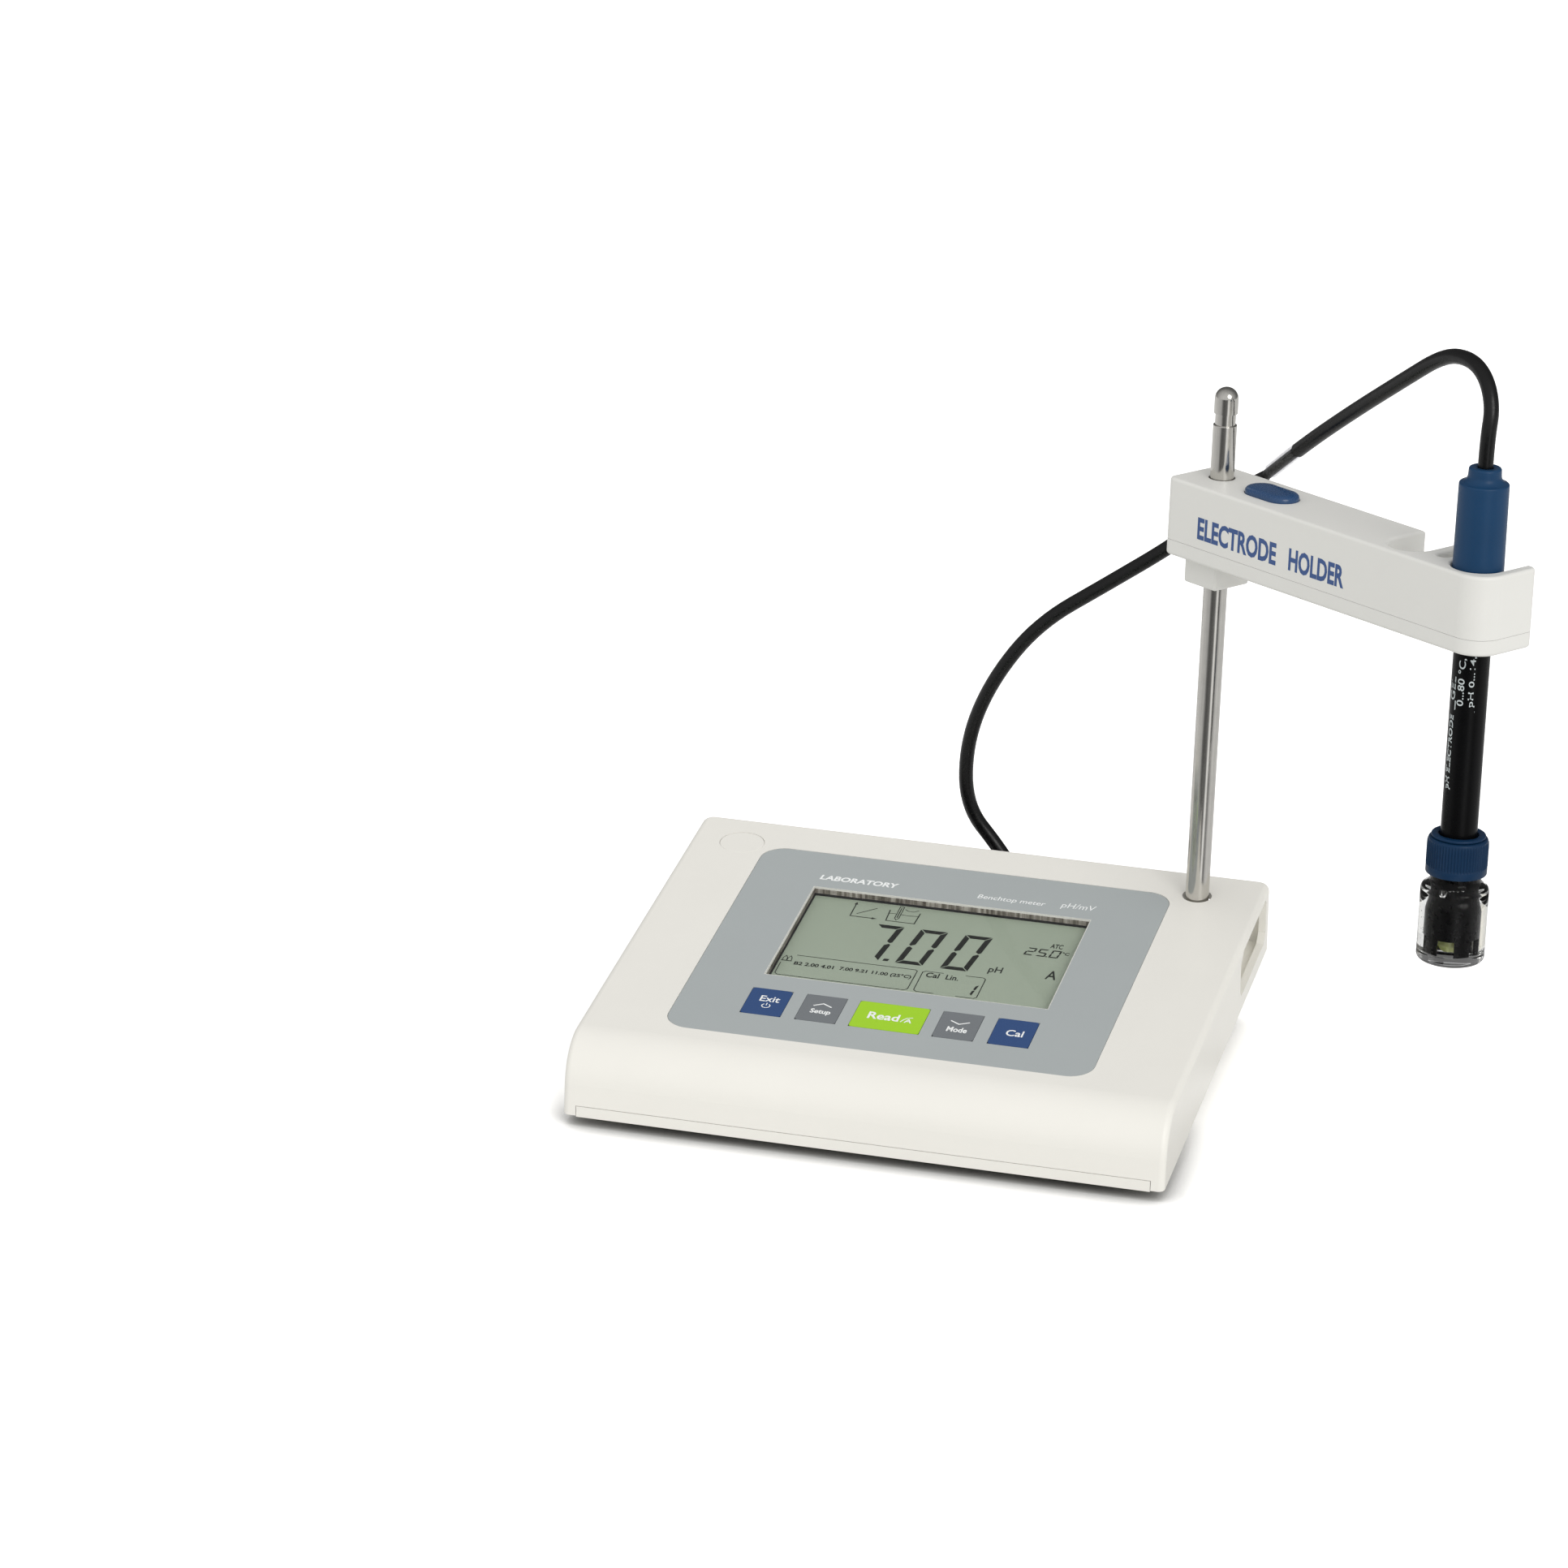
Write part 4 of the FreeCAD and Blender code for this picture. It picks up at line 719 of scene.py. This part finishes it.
def make_floor():
    """A sweep bright white in the picture, with a painted contact shadow and painted bands in
    reflections.
    """
    half = 10.0
    points = [(-half, -half, 0), (half, -half, 0), (half, half, 0), (-half, half, 0)]
    material, tree, principled = shader("floor_paper")
    tree.nodes.remove(principled)
    seen = tree.nodes.new("ShaderNodeBsdfDiffuse")
    # painted contact shadow: the paper's colour darkens where something stands close above it
    painted_contact_shadow = tree.nodes.new("ShaderNodeAmbientOcclusion")
    painted_contact_shadow.samples = 8
    painted_contact_shadow.inputs["Distance"].default_value = 0.014
    near = ramp(tree, painted_contact_shadow.outputs["AO"], [(0.0, 0.06), (0.45, 0.35), (0.8, 0.8), (0.97, 1.0)])
    bright = tree.nodes.new("ShaderNodeVectorMath")
    bright.operation = "SCALE"
    bright.inputs["Scale"].default_value = 1.42
    link(tree, near, bright.inputs[0])
    link(tree, bright.outputs["Vector"], seen.inputs["Color"])
    bounced = tree.nodes.new("ShaderNodeBsdfDiffuse")
    bounced.inputs["Color"].default_value = (0.86, 0.86, 0.85, 1.0)
    mirrored = tree.nodes.new("ShaderNodeEmission")
    mirrored.inputs["Strength"].default_value = 1.0
    # painted reflection: around the pole, the floor as metal mirrors it is painted in light and
    # dark bands with one narrow lamp-bright band
    place = tree.nodes.new("ShaderNodeNewGeometry")
    centred = tree.nodes.new("ShaderNodeVectorMath")
    centred.operation = "SUBTRACT"
    centred.inputs[1].default_value = POLE
    link(tree, place.outputs["Position"], centred.inputs[0])
    around = axes(tree, centred.outputs["Vector"])
    angle = math_node(tree, "ARCTAN2", around["X"], math_node(tree, "MULTIPLY", around["Y"], -1.0))
    painted_reflection_bands = ramp(tree, ranged(tree, angle, -math.pi, math.pi), [
        (0.0, 0.85), (0.17, 0.85), (0.28, 0.72), (0.36, 0.6), (0.405, 0.55), (0.435, 0.2),
        (0.465, 0.12), (0.5, 0.14), (0.545, 0.18), (0.57, 0.4), (0.585, 1.15), (0.612, 1.15),
        (0.63, 0.35), (0.665, 0.25), (0.69, 0.6), (0.735, 0.8), (0.8, 0.75), (0.9, 0.75),
        (1.0, 0.85)])
    link(tree, painted_reflection_bands, mirrored.inputs["Color"])
    finish = by_ray(tree, bounced.outputs["BSDF"], seen.outputs["BSDF"],
                    mirrored.outputs["Emission"])
    link(tree, finish, tree.nodes["Material Output"].inputs["Surface"])
    floor = mesh_from("floor", points, [(0, 1, 2, 3)], material, smooth=False)


def make_world():
    world = bpy.data.worlds.new("studio")
    bpy.context.scene.world = world
    world.use_nodes = True
    tree = world.node_tree
    soft = tree.nodes["Background"]
    soft.inputs["Color"].default_value = (1.0, 0.995, 0.985, 1.0)
    soft.inputs["Strength"].default_value = 0.86
    behind = tree.nodes.new("ShaderNodeBackground")
    behind.inputs["Strength"].default_value = 1.1
    mirrored = tree.nodes.new("ShaderNodeBackground")
    place = tree.nodes.new("ShaderNodeTexCoord")
    depth = ranged(tree, axes(tree, place.outputs["Generated"])["Y"], -1.0, 1.0)
    # the rear of the studio is dim, its front is light
    link(tree, ramp(tree, depth, [(0.1, 0.75), (0.5, 0.45), (0.8, 0.16), (1.0, 0.12)]),
         mirrored.inputs["Color"])
    finish = by_ray(tree, soft.outputs["Background"], behind.outputs["Background"],
                    mirrored.outputs["Background"])
    link(tree, finish, tree.nodes["World Output"].inputs["Surface"])


def make_sun():
    """One large soft lamp in front, to the right and not high up."""
    data = bpy.data.lights.new("window_light", "SUN")
    data.energy = 1.0
    data.angle = math.radians(34.0)
    data.color = (1.0, 0.99, 0.97)
    lamp = new_object("window_light", data)
    lamp.location = (0.6, -0.7, 0.6)
    lamp.rotation_euler = Vector((-0.575, 0.639, -0.511)).to_track_quat("-Z", "Y").to_euler()


aim_camera()
make_floor()
make_world()
make_sun()
bpy.context.scene.view_settings.view_transform = "Standard"


# --- console ----------------------------------------------

WINDOW = (-49.8, 46.8, 66.45, 132.35)


def make_surround():
    """The walls between the window and the crystal: a painted-highlight rim, a brownish wall, a
    painted-shadow line.
    """
    # painted highlight: a pale rim stands for the bright bevel of the window's edge
    bright = moulded("rim_painted_highlight", (0.72, 0.72, 0.68), roughness=0.25, grain=900.0, depth=0.01)
    wall, tree, principled = shader("wall_painted_reflections")
    # painted reflections: light and dark streaks on the brownish wall
    painted_reflection_streaks = noise(tree, 1.0, 3.0, stretch=(900, 60, 60))
    link(tree, ramp(tree, painted_reflection_streaks, [(0.35, (0.10, 0.085, 0.07)), (0.5, (0.24, 0.215, 0.19)),
                                    (0.68, (0.5, 0.47, 0.43))]), principled.inputs["Base Color"])
    principled.inputs["Roughness"].default_value = 0.3
    levels = [(24.28, 0.0), (24.28, 0.28), (23.75, 0.3), (23.7, 0.42), (22.1, 0.42), (22.05, 0.55),
              (21.34, 0.55), (21.34, 0.95)]
    # the dark line next to the crystal is painted shadow of its recess
    bands = [bright, bright, bright, wall, wall, mat_dark, mat_dark]
    points = []
    for height, inset in levels:
        left, right, low, high = WINDOW
        for x, u in ((left + inset, low + inset), (right - inset, low + inset),
                     (right - inset, high - inset), (left + inset, high - inset)):
            points.append(on_slab(height)((x, u)))
    piece = mesh_from("display_surround", points, ring_faces(len(levels), 4), bright, smooth=False)
    piece.data.materials.append(wall)
    piece.data.materials.append(mat_dark)
    order = {bright.name: 0, wall.name: 1, mat_dark.name: 2}
    for face in piece.data.polygons:
        face.material_index = order[bands[face.index // 4].name]
    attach(piece, "console")
    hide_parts("display_frame")


def arrow(ink, tail, head, width, size):
    """A line with a filled arrow head."""
    way = (Vector(head) - Vector(tail)).normalized()
    side = Vector((-way.y, way.x))
    neck = Vector(head) - way * size
    ink.stroke([tail, neck], width)
    ink.polygon([Vector(head), neck + side * size * 0.38, neck - side * size * 0.38])


def make_lcd_ink():
    ink = Ink()
    for figure, left in (("7", -26.4), ("0", -11.2), ("0", 4.2)):
        ink.digit(figure, left, 90.9, 9.4, 25.5, 2.25, 3.05)
    ink.polygon([Vector(p) for p in ((-15.5, 91.2), (-13.7, 91.2), (-13.4, 92.8), (-15.2, 92.8))])
    ink.lettering("pH", 20.3, 24.9, 91.1, 96.6, bold=0.012)
    ink.lettering("ATC", 36.6, 40.8, 114.3, 117.5, bold=0.02)
    for figure, left in (("2", 28.9), ("5", 33.0), ("0", 37.4)):
        ink.digit(figure, left, 107.6, 3.2, 5.4, 0.68, 0.7)
    ink.polygon([Vector(p) for p in ((36.45, 107.6), (37.0, 107.6), (37.05, 108.2), (36.5, 108.2))])
    ink.lettering("°C", 41.5, 43.9, 110.4, 112.5, bold=0.03)
    ink.lettering("A", 39.6, 43.3, 92.4, 98.6, bold=0.012)
    # axes with a rising line
    arrow(ink, (-33.9, 119.8), (-33.9, 130.2), 0.4, 1.8)
    arrow(ink, (-34.1, 119.9), (-24.6, 119.9), 0.4, 1.8)
    ink.stroke([(-32.1, 121.9), (-26.2, 127.4)], 0.35)
    # beaker with a probe
    ink.stroke([(-21.7, 127.4), (-21.4, 119.6), (-11.5, 119.6), (-11.2, 127.4)], 0.4)
    ink.stroke([(-21.5, 125.0), (-19.5, 125.2), (-18.8, 124.8)], 0.28)
    ink.stroke([(-17.4, 125.0), (-14.6, 124.7), (-11.4, 125.1)], 0.28)
    ink.stroke([(-18.9, 130.6), (-18.9, 122.0), (-18.2, 120.8), (-17.5, 122.0), (-17.5, 130.6)],
               0.3, closed=True)
    ink.stroke([(-18.2, 129.6), (-18.2, 122.4)], 0.35)
    ink.stroke([(-16.8, 129.0), (-15.6, 128.0), (-13.6, 127.9), (-12.2, 129.2)], 0.28)
    # box of the standards
    ink.stroke([(-43.9, 87.65), (-3.2, 87.65), (-2.4, 86.9), (-2.6, 74.0), (-3.6, 72.95),
                (-47.0, 72.95), (-48.0, 73.9), (-48.0, 81.6)], 0.32)
    for shift in (0.0, 1.6):
        ink.stroke([(-48.0 + shift, 83.2), (-47.9 + shift, 85.2), (-47.2 + shift, 86.6),
                    (-46.6 + shift, 85.2), (-46.5 + shift, 83.2)], 0.28, closed=True)
    ink.stroke([(-48.4, 83.0), (-44.6, 83.0)], 0.3)
    ink.lettering("B2 2.00 4.01", -43.5, -29.9, 80.9, 83.3, bold=0.03)
    ink.lettering("7.00 9.21 11.00 (25°C)", -27.9, -3.3, 80.5, 83.5, bold=0.03)
    # box of the calibration
    ink.stroke([(6.5, 87.6), (0.4, 87.6), (-0.5, 86.8), (-0.5, 74.0), (0.4, 73.0), (6.5, 73.0)],
               0.32)
    ink.stroke([(13.9, 73.0), (20.0, 73.0), (20.9, 73.9), (20.9, 87.0), (20.1, 87.8), (14.0, 87.8)],
               0.32)
    ink.lettering("Cal", 1.0, 5.5, 83.6, 87.0, bold=0.02)
    ink.lettering("Lin.", 7.8, 12.2, 83.6, 87.0, bold=0.02)
    ink.digit("1", 14.2, 74.7, 4.6, 7.7, 0.95, 1.0)
    piece = ink.make("display_figures", mat_lcd_ink, on_slab(LCD_TOP + INK))
    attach(piece, "console")


def make_panel_print():
    ink = Ink()
    ink.lettering("LABORATORY", -49.3, -21.8, 137.7, 141.2, bold=0.035, lean=0.12)
    ink.lettering("Benchtop meter", 5.9, 29.4, 137.0, 140.8, bold=0.006, lean=0.12)
    ink.lettering("pH/mV", 34.7, 46.6, 137.4, 142.2, lean=0.12)
    piece = ink.make("panel_lettering", mat_print_white, on_slab(OVERLAY_TOP + INK))
    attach(piece, "console")


def make_key_prints():
    exit_ink = Ink()
    exit_ink.lettering("Exit", -46.5, -39.8, 47.9, 51.8, bold=0.014)
    exit_ink.stroke(arc(-43.4, 45.1, 1.35, 125, 415, 20), 0.35)
    exit_ink.stroke([(-43.4, 45.4), (-43.4, 47.1)], 0.35)
    setup_ink = Ink()
    setup_ink.stroke([(-28.3, 49.3), (-25.3, 51.2), (-22.2, 49.3)], 0.55)
    setup_ink.lettering("Setup", -28.5, -21.6, 43.5, 47.3, bold=0.028)
    read_ink = Ink()
    read_ink.lettering("Read", -9.4, 1.1, 45.4, 50.1, bold=0.022)
    read_ink.stroke([(1.9, 45.5), (2.6, 47.2), (3.6, 48.6), (5.4, 49.2)], 0.4)
    read_ink.lettering("A", 3.0, 5.6, 45.4, 48.1, bold=0.02)
    mode_ink = Ink()
    mode_ink.stroke([(17.8, 50.8), (20.9, 48.9), (24.1, 50.8)], 0.55)
    mode_ink.lettering("Mode", 17.7, 24.5, 43.4, 46.8, bold=0.028)
    cal_ink = Ink()
    cal_ink.lettering("Cal", 37.0, 42.8, 45.4, 49.6, bold=0.016)
    for key, ink, finish in (("exit", exit_ink, "key_blue"), ("setup", setup_ink, "key_grey"),
                             ("read", read_ink, "key_green"), ("mode", mode_ink, "key_grey"),
                             ("cal", cal_ink, "key_blue")):
        piece = ink.make("legend_" + key, mat_print_white, on_slab(KEY_TOP + INK))
        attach(piece, "key_" + key)


def make_side_liners():
    """The pale walls seen through the side windows, with a rib across each; their faint glow is
    painted light.
    """
    material = moulded("liner_painted_glow", CASE)
    tree = material.node_tree
    principled = tree.nodes["Principled BSDF"]
    # painted light: a faint glow in the case's colour stands for light coming in through the rear
    # opening
    principled.inputs["Emission Color"].default_value = CASE + (1.0,)
    principled.inputs["Emission Strength"].default_value = 0.3
    place = lambda p: SLAB @ (Vector(p) * MM)
    points = []
    faces = []
    for side in (-1, 1):
        for low, high, bottom, top, out in ((121.0, 170.5, 3.2, 21.4, 88.25),
                                            (139.0, 140.2, 3.2, 21.4, 89.4),
                                            (156.0, 157.2, 3.2, 21.4, 89.4)):
            first = len(points)
            for x in (88.2, out):
                for u, w in ((low, bottom), (high, bottom), (high, top), (low, top)):
                    points.append(place((side * x, u, w)))
            quads = [(4, 5, 6, 7), (0, 1, 5, 4), (1, 2, 6, 5), (2, 3, 7, 6), (3, 0, 4, 7)]
            faces += [tuple(first + i for i in quad) for quad in quads]
    piece = mesh_from("side_liners", points, faces, material, smooth=False)
    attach(piece, "console")


make_surround()
make_side_liners()
make_lcd_ink()
make_panel_print()
make_key_prints()


# --- arm --------------------------------------------------

def make_arm_print():
    ink = Ink()
    ink.lettering("ELECTRODE", 3.9, 40.6, 179.0, 186.7, bold=0.035)
    ink.lettering("HOLDER", 46.4, 71.6, 179.0, 186.7, bold=0.035)
    place = lambda p: ARM @ Vector((p[0] * MM, (-14.0 - INK) * MM, p[1] * MM))
    piece = ink.make("arm_lettering", mat_print_blue, place)
    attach(piece, "arm")


def make_button():
    """The release button: an oval cap with a soft crown over its flange, and its stem."""
    radius = 6.0
    half = 20.6 / 2 - radius
    crown = [(194.0, 0.0), (197.6, 0.0), (198.2, 0.12), (198.65, 0.45), (199.0, 1.0), (199.2, 1.9),
             (199.3, 3.2), (199.35, 4.6)]
    levels = [(188.2, 2.0, 0.02), (194.0, radius + 1.2, half)]
    levels += [(height, radius - inset, half) for height, inset in crown]
    count = 28
    points = []
    for height, size, stretch in levels:
        for i in range(count * 2):
            turn = math.pi * i / count - math.pi / 2
            shift = stretch if math.cos(turn) >= -1e-9 else -stretch
            points.append(ARM @ Vector(((25.0 + shift + size * math.cos(turn)) * MM,
                                        (-1.5 + size * math.sin(turn)) * MM, height * MM)))
    faces = capped(len(levels), count * 2)
    piece = mesh_from("button_cap", points, faces, mat_button, crease=40.0)
    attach(piece, "release_button")
    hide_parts("release_button")


make_arm_print()
make_button()


# --- electrode --------------------------------------------

def make_head():
    profile = [(0.0, 222.0), (2.55, 222.0), (2.55, 229.0), (2.9, 229.45), (4.4, 229.5)]
    profile += arc(4.5, 228.7, 0.8, 90, 0, 6)
    profile += [(5.35, 227.4)]
    profile += arc(8.0, 227.0, 2.62, 178, 262, 10)
    profile += arc(7.45, 223.75, 0.65, 75, 0, 5)
    profile += [(8.12, 222.0), (8.42, 178.5), (8.42, 176.1), (6.1, 176.1)]
    piece = lathe("head_moulding", profile, mat_blue, crease=60.0)
    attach(piece, "electrode")
    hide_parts("electrode_head")


def around_shaft(p):
    """Places lettering that runs up the shaft: p is (place up the shaft, angle as arc length)."""
    radius = 6.0 + INK
    turn = math.radians(-76.0) + p[1] / 6.0
    return PROBE @ Vector((radius * math.cos(turn) * MM, radius * math.sin(turn) * MM, p[0] * MM))


def make_shaft_print():
    """Rows of lettering up the shaft; across the rows, +y of the letters is to the left."""
    ink = Ink()
    ink.lettering("pH ELECTRODE", 122.5, 147.5, 4.3, 7.0, bold=0.03)
    ink.lettering("GEL", 152.5, 160.5, 4.9, 7.4, bold=0.01)
    ink.lettering("0...80 °C, 3 mol/L", 151.2, 182.0, 1.3, 4.2, bold=0.01)
    ink.lettering("pH 0...14, 12 mm", 151.2, 182.0, -2.0, 0.3, bold=0.01)
    ink.stroke([(152.6, 4.6), (149.6, 4.6), (149.6, -2.2)], 0.4)
    flipped = Ink()
    flipped.points = [Vector((p[0], -p[1])) for p in ink.points]
    flipped.faces = ink.faces
    piece = flipped.make("shaft_lettering", mat_print_grey, around_shaft)
    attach(piece, "electrode")


def make_cap():
    ribs = 60

    def ribbed(radius, height, turn):
        if 93.6 < height < 101.9:
            return radius + 0.18 * math.cos(ribs * turn) - 0.14
        return radius

    outer = [(8.4, 90.9), (9.9, 90.9), (10.0, 91.1), (10.0, 93.0), (9.95, 93.4), (10.0, 93.7)]
    outer += [(10.0, 94.0), (10.0, 97.0), (10.0, 100.4), (9.95, 101.6)]
    outer += [(9.75, 102.1)] + arc(8.9, 102.1, 0.85, 0, 90, 6)[1:]
    profile = outer + [(6.3, 102.95), (6.3, 101.0), (8.4, 101.0), (8.4, 90.9)]
    piece = lathe("cap_ribbed", profile, mat_cap, BOTTLE, steps=480, crease=55.0, radius_of=ribbed)
    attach(piece, "cap")
    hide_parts("bottle_cap")
    ring = [(6.6, 103.02)] + [(8.5, 103.02)] + arc(8.35, 103.6, 0.55, -80, 90, 8)
    ring += [(7.3, 104.3), (6.6, 103.9), (6.6, 103.02)]
    seal = lathe("ring_rounded", ring, mat_cap, BOTTLE, crease=50.0)
    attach(seal, "cap")
    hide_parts("seal_ring")


LIQUID_TOP = 90.4


def make_bottle():
    outer = [(0.0, 61.5), (5.0, 61.35), (8.2, 61.05)] + arc(9.35, 62.8, 1.8, -90, 0, 8)
    outer += [(11.15, 66.0), (11.15, 80.0), (11.15, 85.0)] + arc(9.15, 85.0, 2.0, 0, 62, 8)
    outer += [(9.4, 87.3), (8.75, 87.9), (8.3, 88.6), (8.2, 89.6), (8.2, 98.9)]
    outer += [(6.8, 98.9), (6.8, LIQUID_TOP)]
    piece = lathe("bottle_glass", outer, mat_glass, BOTTLE, steps=128, crease=80.0)
    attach(piece, "bottle")
    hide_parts("storage_bottle")
    # the liquid's skin stands for the glass wall's inner face too
    wet = [(0.0, 63.3), (5.0, 63.55)] + arc(8.55, 65.4, 1.4, -80, 0, 6)
    wet += [(9.95, 75.0), (9.95, 84.8), (9.5, 86.0), (8.3, 87.0), (7.3, 88.0), (6.8, 89.0),
            (6.8, LIQUID_TOP), (0.0, LIQUID_TOP)]
    liquid = lathe("liquid_body", wet, mat_wetted, BOTTLE, steps=128, crease=50.0)
    liquid.data.materials.append(mat_liquid)
    for face in liquid.data.polygons:
        if face.normal.z > 0.9 and face.center.z > 0.085:
            face.material_index = 1
    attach(liquid, "bottle")
    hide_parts("storage_solution")


def ball(centre, radius):
    """Points and faces of a small round bubble, in mm in the bottle's frame."""
    points = [(centre[0], centre[1], centre[2] + radius)]
    rings = 10
    steps = 16
    for i in range(1, rings):
        lean = math.pi * i / rings
        for k in range(steps):
            turn = 2 * math.pi * k / steps
            points.append((centre[0] + radius * math.sin(lean) * math.cos(turn),
                           centre[1] + radius * math.sin(lean) * math.sin(turn),
                           centre[2] + radius * math.cos(lean)))
    points.append((centre[0], centre[1], centre[2] - radius))
    faces = [(0, 1 + k, 1 + (k + 1) % steps) for k in range(steps)]
    for i in range(rings - 2):
        a = 1 + i * steps
        for k in range(steps):
            j = (k + 1) % steps
            faces.append((a + k, a + steps + k, a + steps + j, a + j))
    a = 1 + (rings - 2) * steps
    last = len(points) - 1
    faces += [(a + (k + 1) % steps, a + k, last) for k in range(steps)]
    return points, faces


def make_bubbles():
    """Air in the liquid: a large bubble near its top, a row beside it, specks along the wall."""
    random.seed(11)
    spots = []
    for angle, radius, height, size in ((-101, 7.8, 85.4, 1.35), (-86, 8.1, 86.5, 0.45),
                                        (-78, 8.1, 86.6, 0.35), (-69, 8.1, 86.6, 0.4),
                                        (-57, 7.9, 86.8, 0.5)):
        turn = math.radians(angle)
        spots.append(((radius * math.cos(turn), radius * math.sin(turn), height), size))
    for count, sector, radius, heights, sizes in (
            (16, (-150, -125), 9.6, (65.5, 78.0), (0.09, 0.2)),
            (10, (-120, -20), 9.7, (67.0, 83.0), (0.05, 0.1))):
        for i in range(count):
            turn = math.radians(random.uniform(*sector))
            height = random.uniform(*heights)
            spots.append(((radius * math.cos(turn), radius * math.sin(turn), height),
                          random.uniform(*sizes)))
    points = []
    faces = []
    for centre, size in spots:
        more, sides = ball(centre, size)
        first = len(points)
        points += [BOTTLE @ (Vector(p) * MM) for p in more]
        faces += [tuple(first + i for i in side) for side in sides]
    piece = mesh_from("air_bubbles", points, faces, mat_air)
    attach(piece, "bottle")


make_head()
make_shaft_print()
make_cap()
make_bottle()
make_bubbles()


# --- rear -------------------------------------------------

SOCKET_LEVEL = 2.0
BNC = SLAB @ Matrix.Translation((-20.0 * MM, 0.0, SOCKET_LEVEL * MM)) \
    @ Matrix.Rotation(math.radians(-90), 4, "X")


def make_plug():
    """The bayonet plug: knurled collar, a smooth barrel and a rubber boot."""
    def knurled(radius, height, turn):
        if 153.0 < height < 163.0:
            return radius + 0.22 * math.cos(36 * turn)
        return radius

    collar = [(4.95, 145.0), (7.0, 145.0), (7.25, 145.3), (7.25, 149.5), (6.9, 150.2), (6.9, 152.6),
              (7.0, 153.1), (7.0, 158.0), (7.0, 162.8), (6.8, 163.3), (6.8, 166.4), (6.4, 167.0),
              (4.2, 167.0), (4.2, 154.0), (4.95, 154.0), (4.95, 145.0)]
    metal = lathe("plug_collar", collar, mat_nickel, BNC, steps=288, crease=40.0, radius_of=knurled)
    boot = [(0.0, 160.0), (4.1, 160.0), (4.6, 167.05), (4.9, 167.6), (4.6, 170.0), (4.2, 172.0),
            (3.9, 174.5), (3.6, 177.0), (3.3, 179.5), (3.0, 180.9), (2.4, 181.0), (0.0, 181.0)]
    rubber = lathe("plug_boot", boot, mat_black, BNC, crease=40.0)
    for piece in (metal, rubber):
        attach(piece, "console")
    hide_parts("bnc_plug")
    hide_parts("bnc_plug")
    return [metal, rubber]


def make_rear_labels():
    """Plain names over the sockets, printed on the rear panel."""
    ink = Ink()
    for words, across, wide in (("pH", -20.0, 4.0), ("ATC", -42.0, 5.5), ("DC", -60.0, 3.8),
                                ("USB", 0.0, 5.5), ("RS 232", 28.0, 10.0), ("REF", 56.0, 5.5)):
        ink.lettering(words, -across - wide / 2, -across + wide / 2, 10.6, 12.8, bold=0.02)
    place = lambda p: SLAB @ Vector((-p[0] * MM, (141.0 + INK) * MM, p[1] * MM))
    piece = ink.make("rear_lettering", mat_print_white, place)
    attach(piece, "console")


plug_pieces = make_plug()
make_rear_labels()

print("cord lengths", [round(length_of(line), 4) for line in (upper_drawn, arm_line, lower_line)])


bpy.context.view_layer.update()
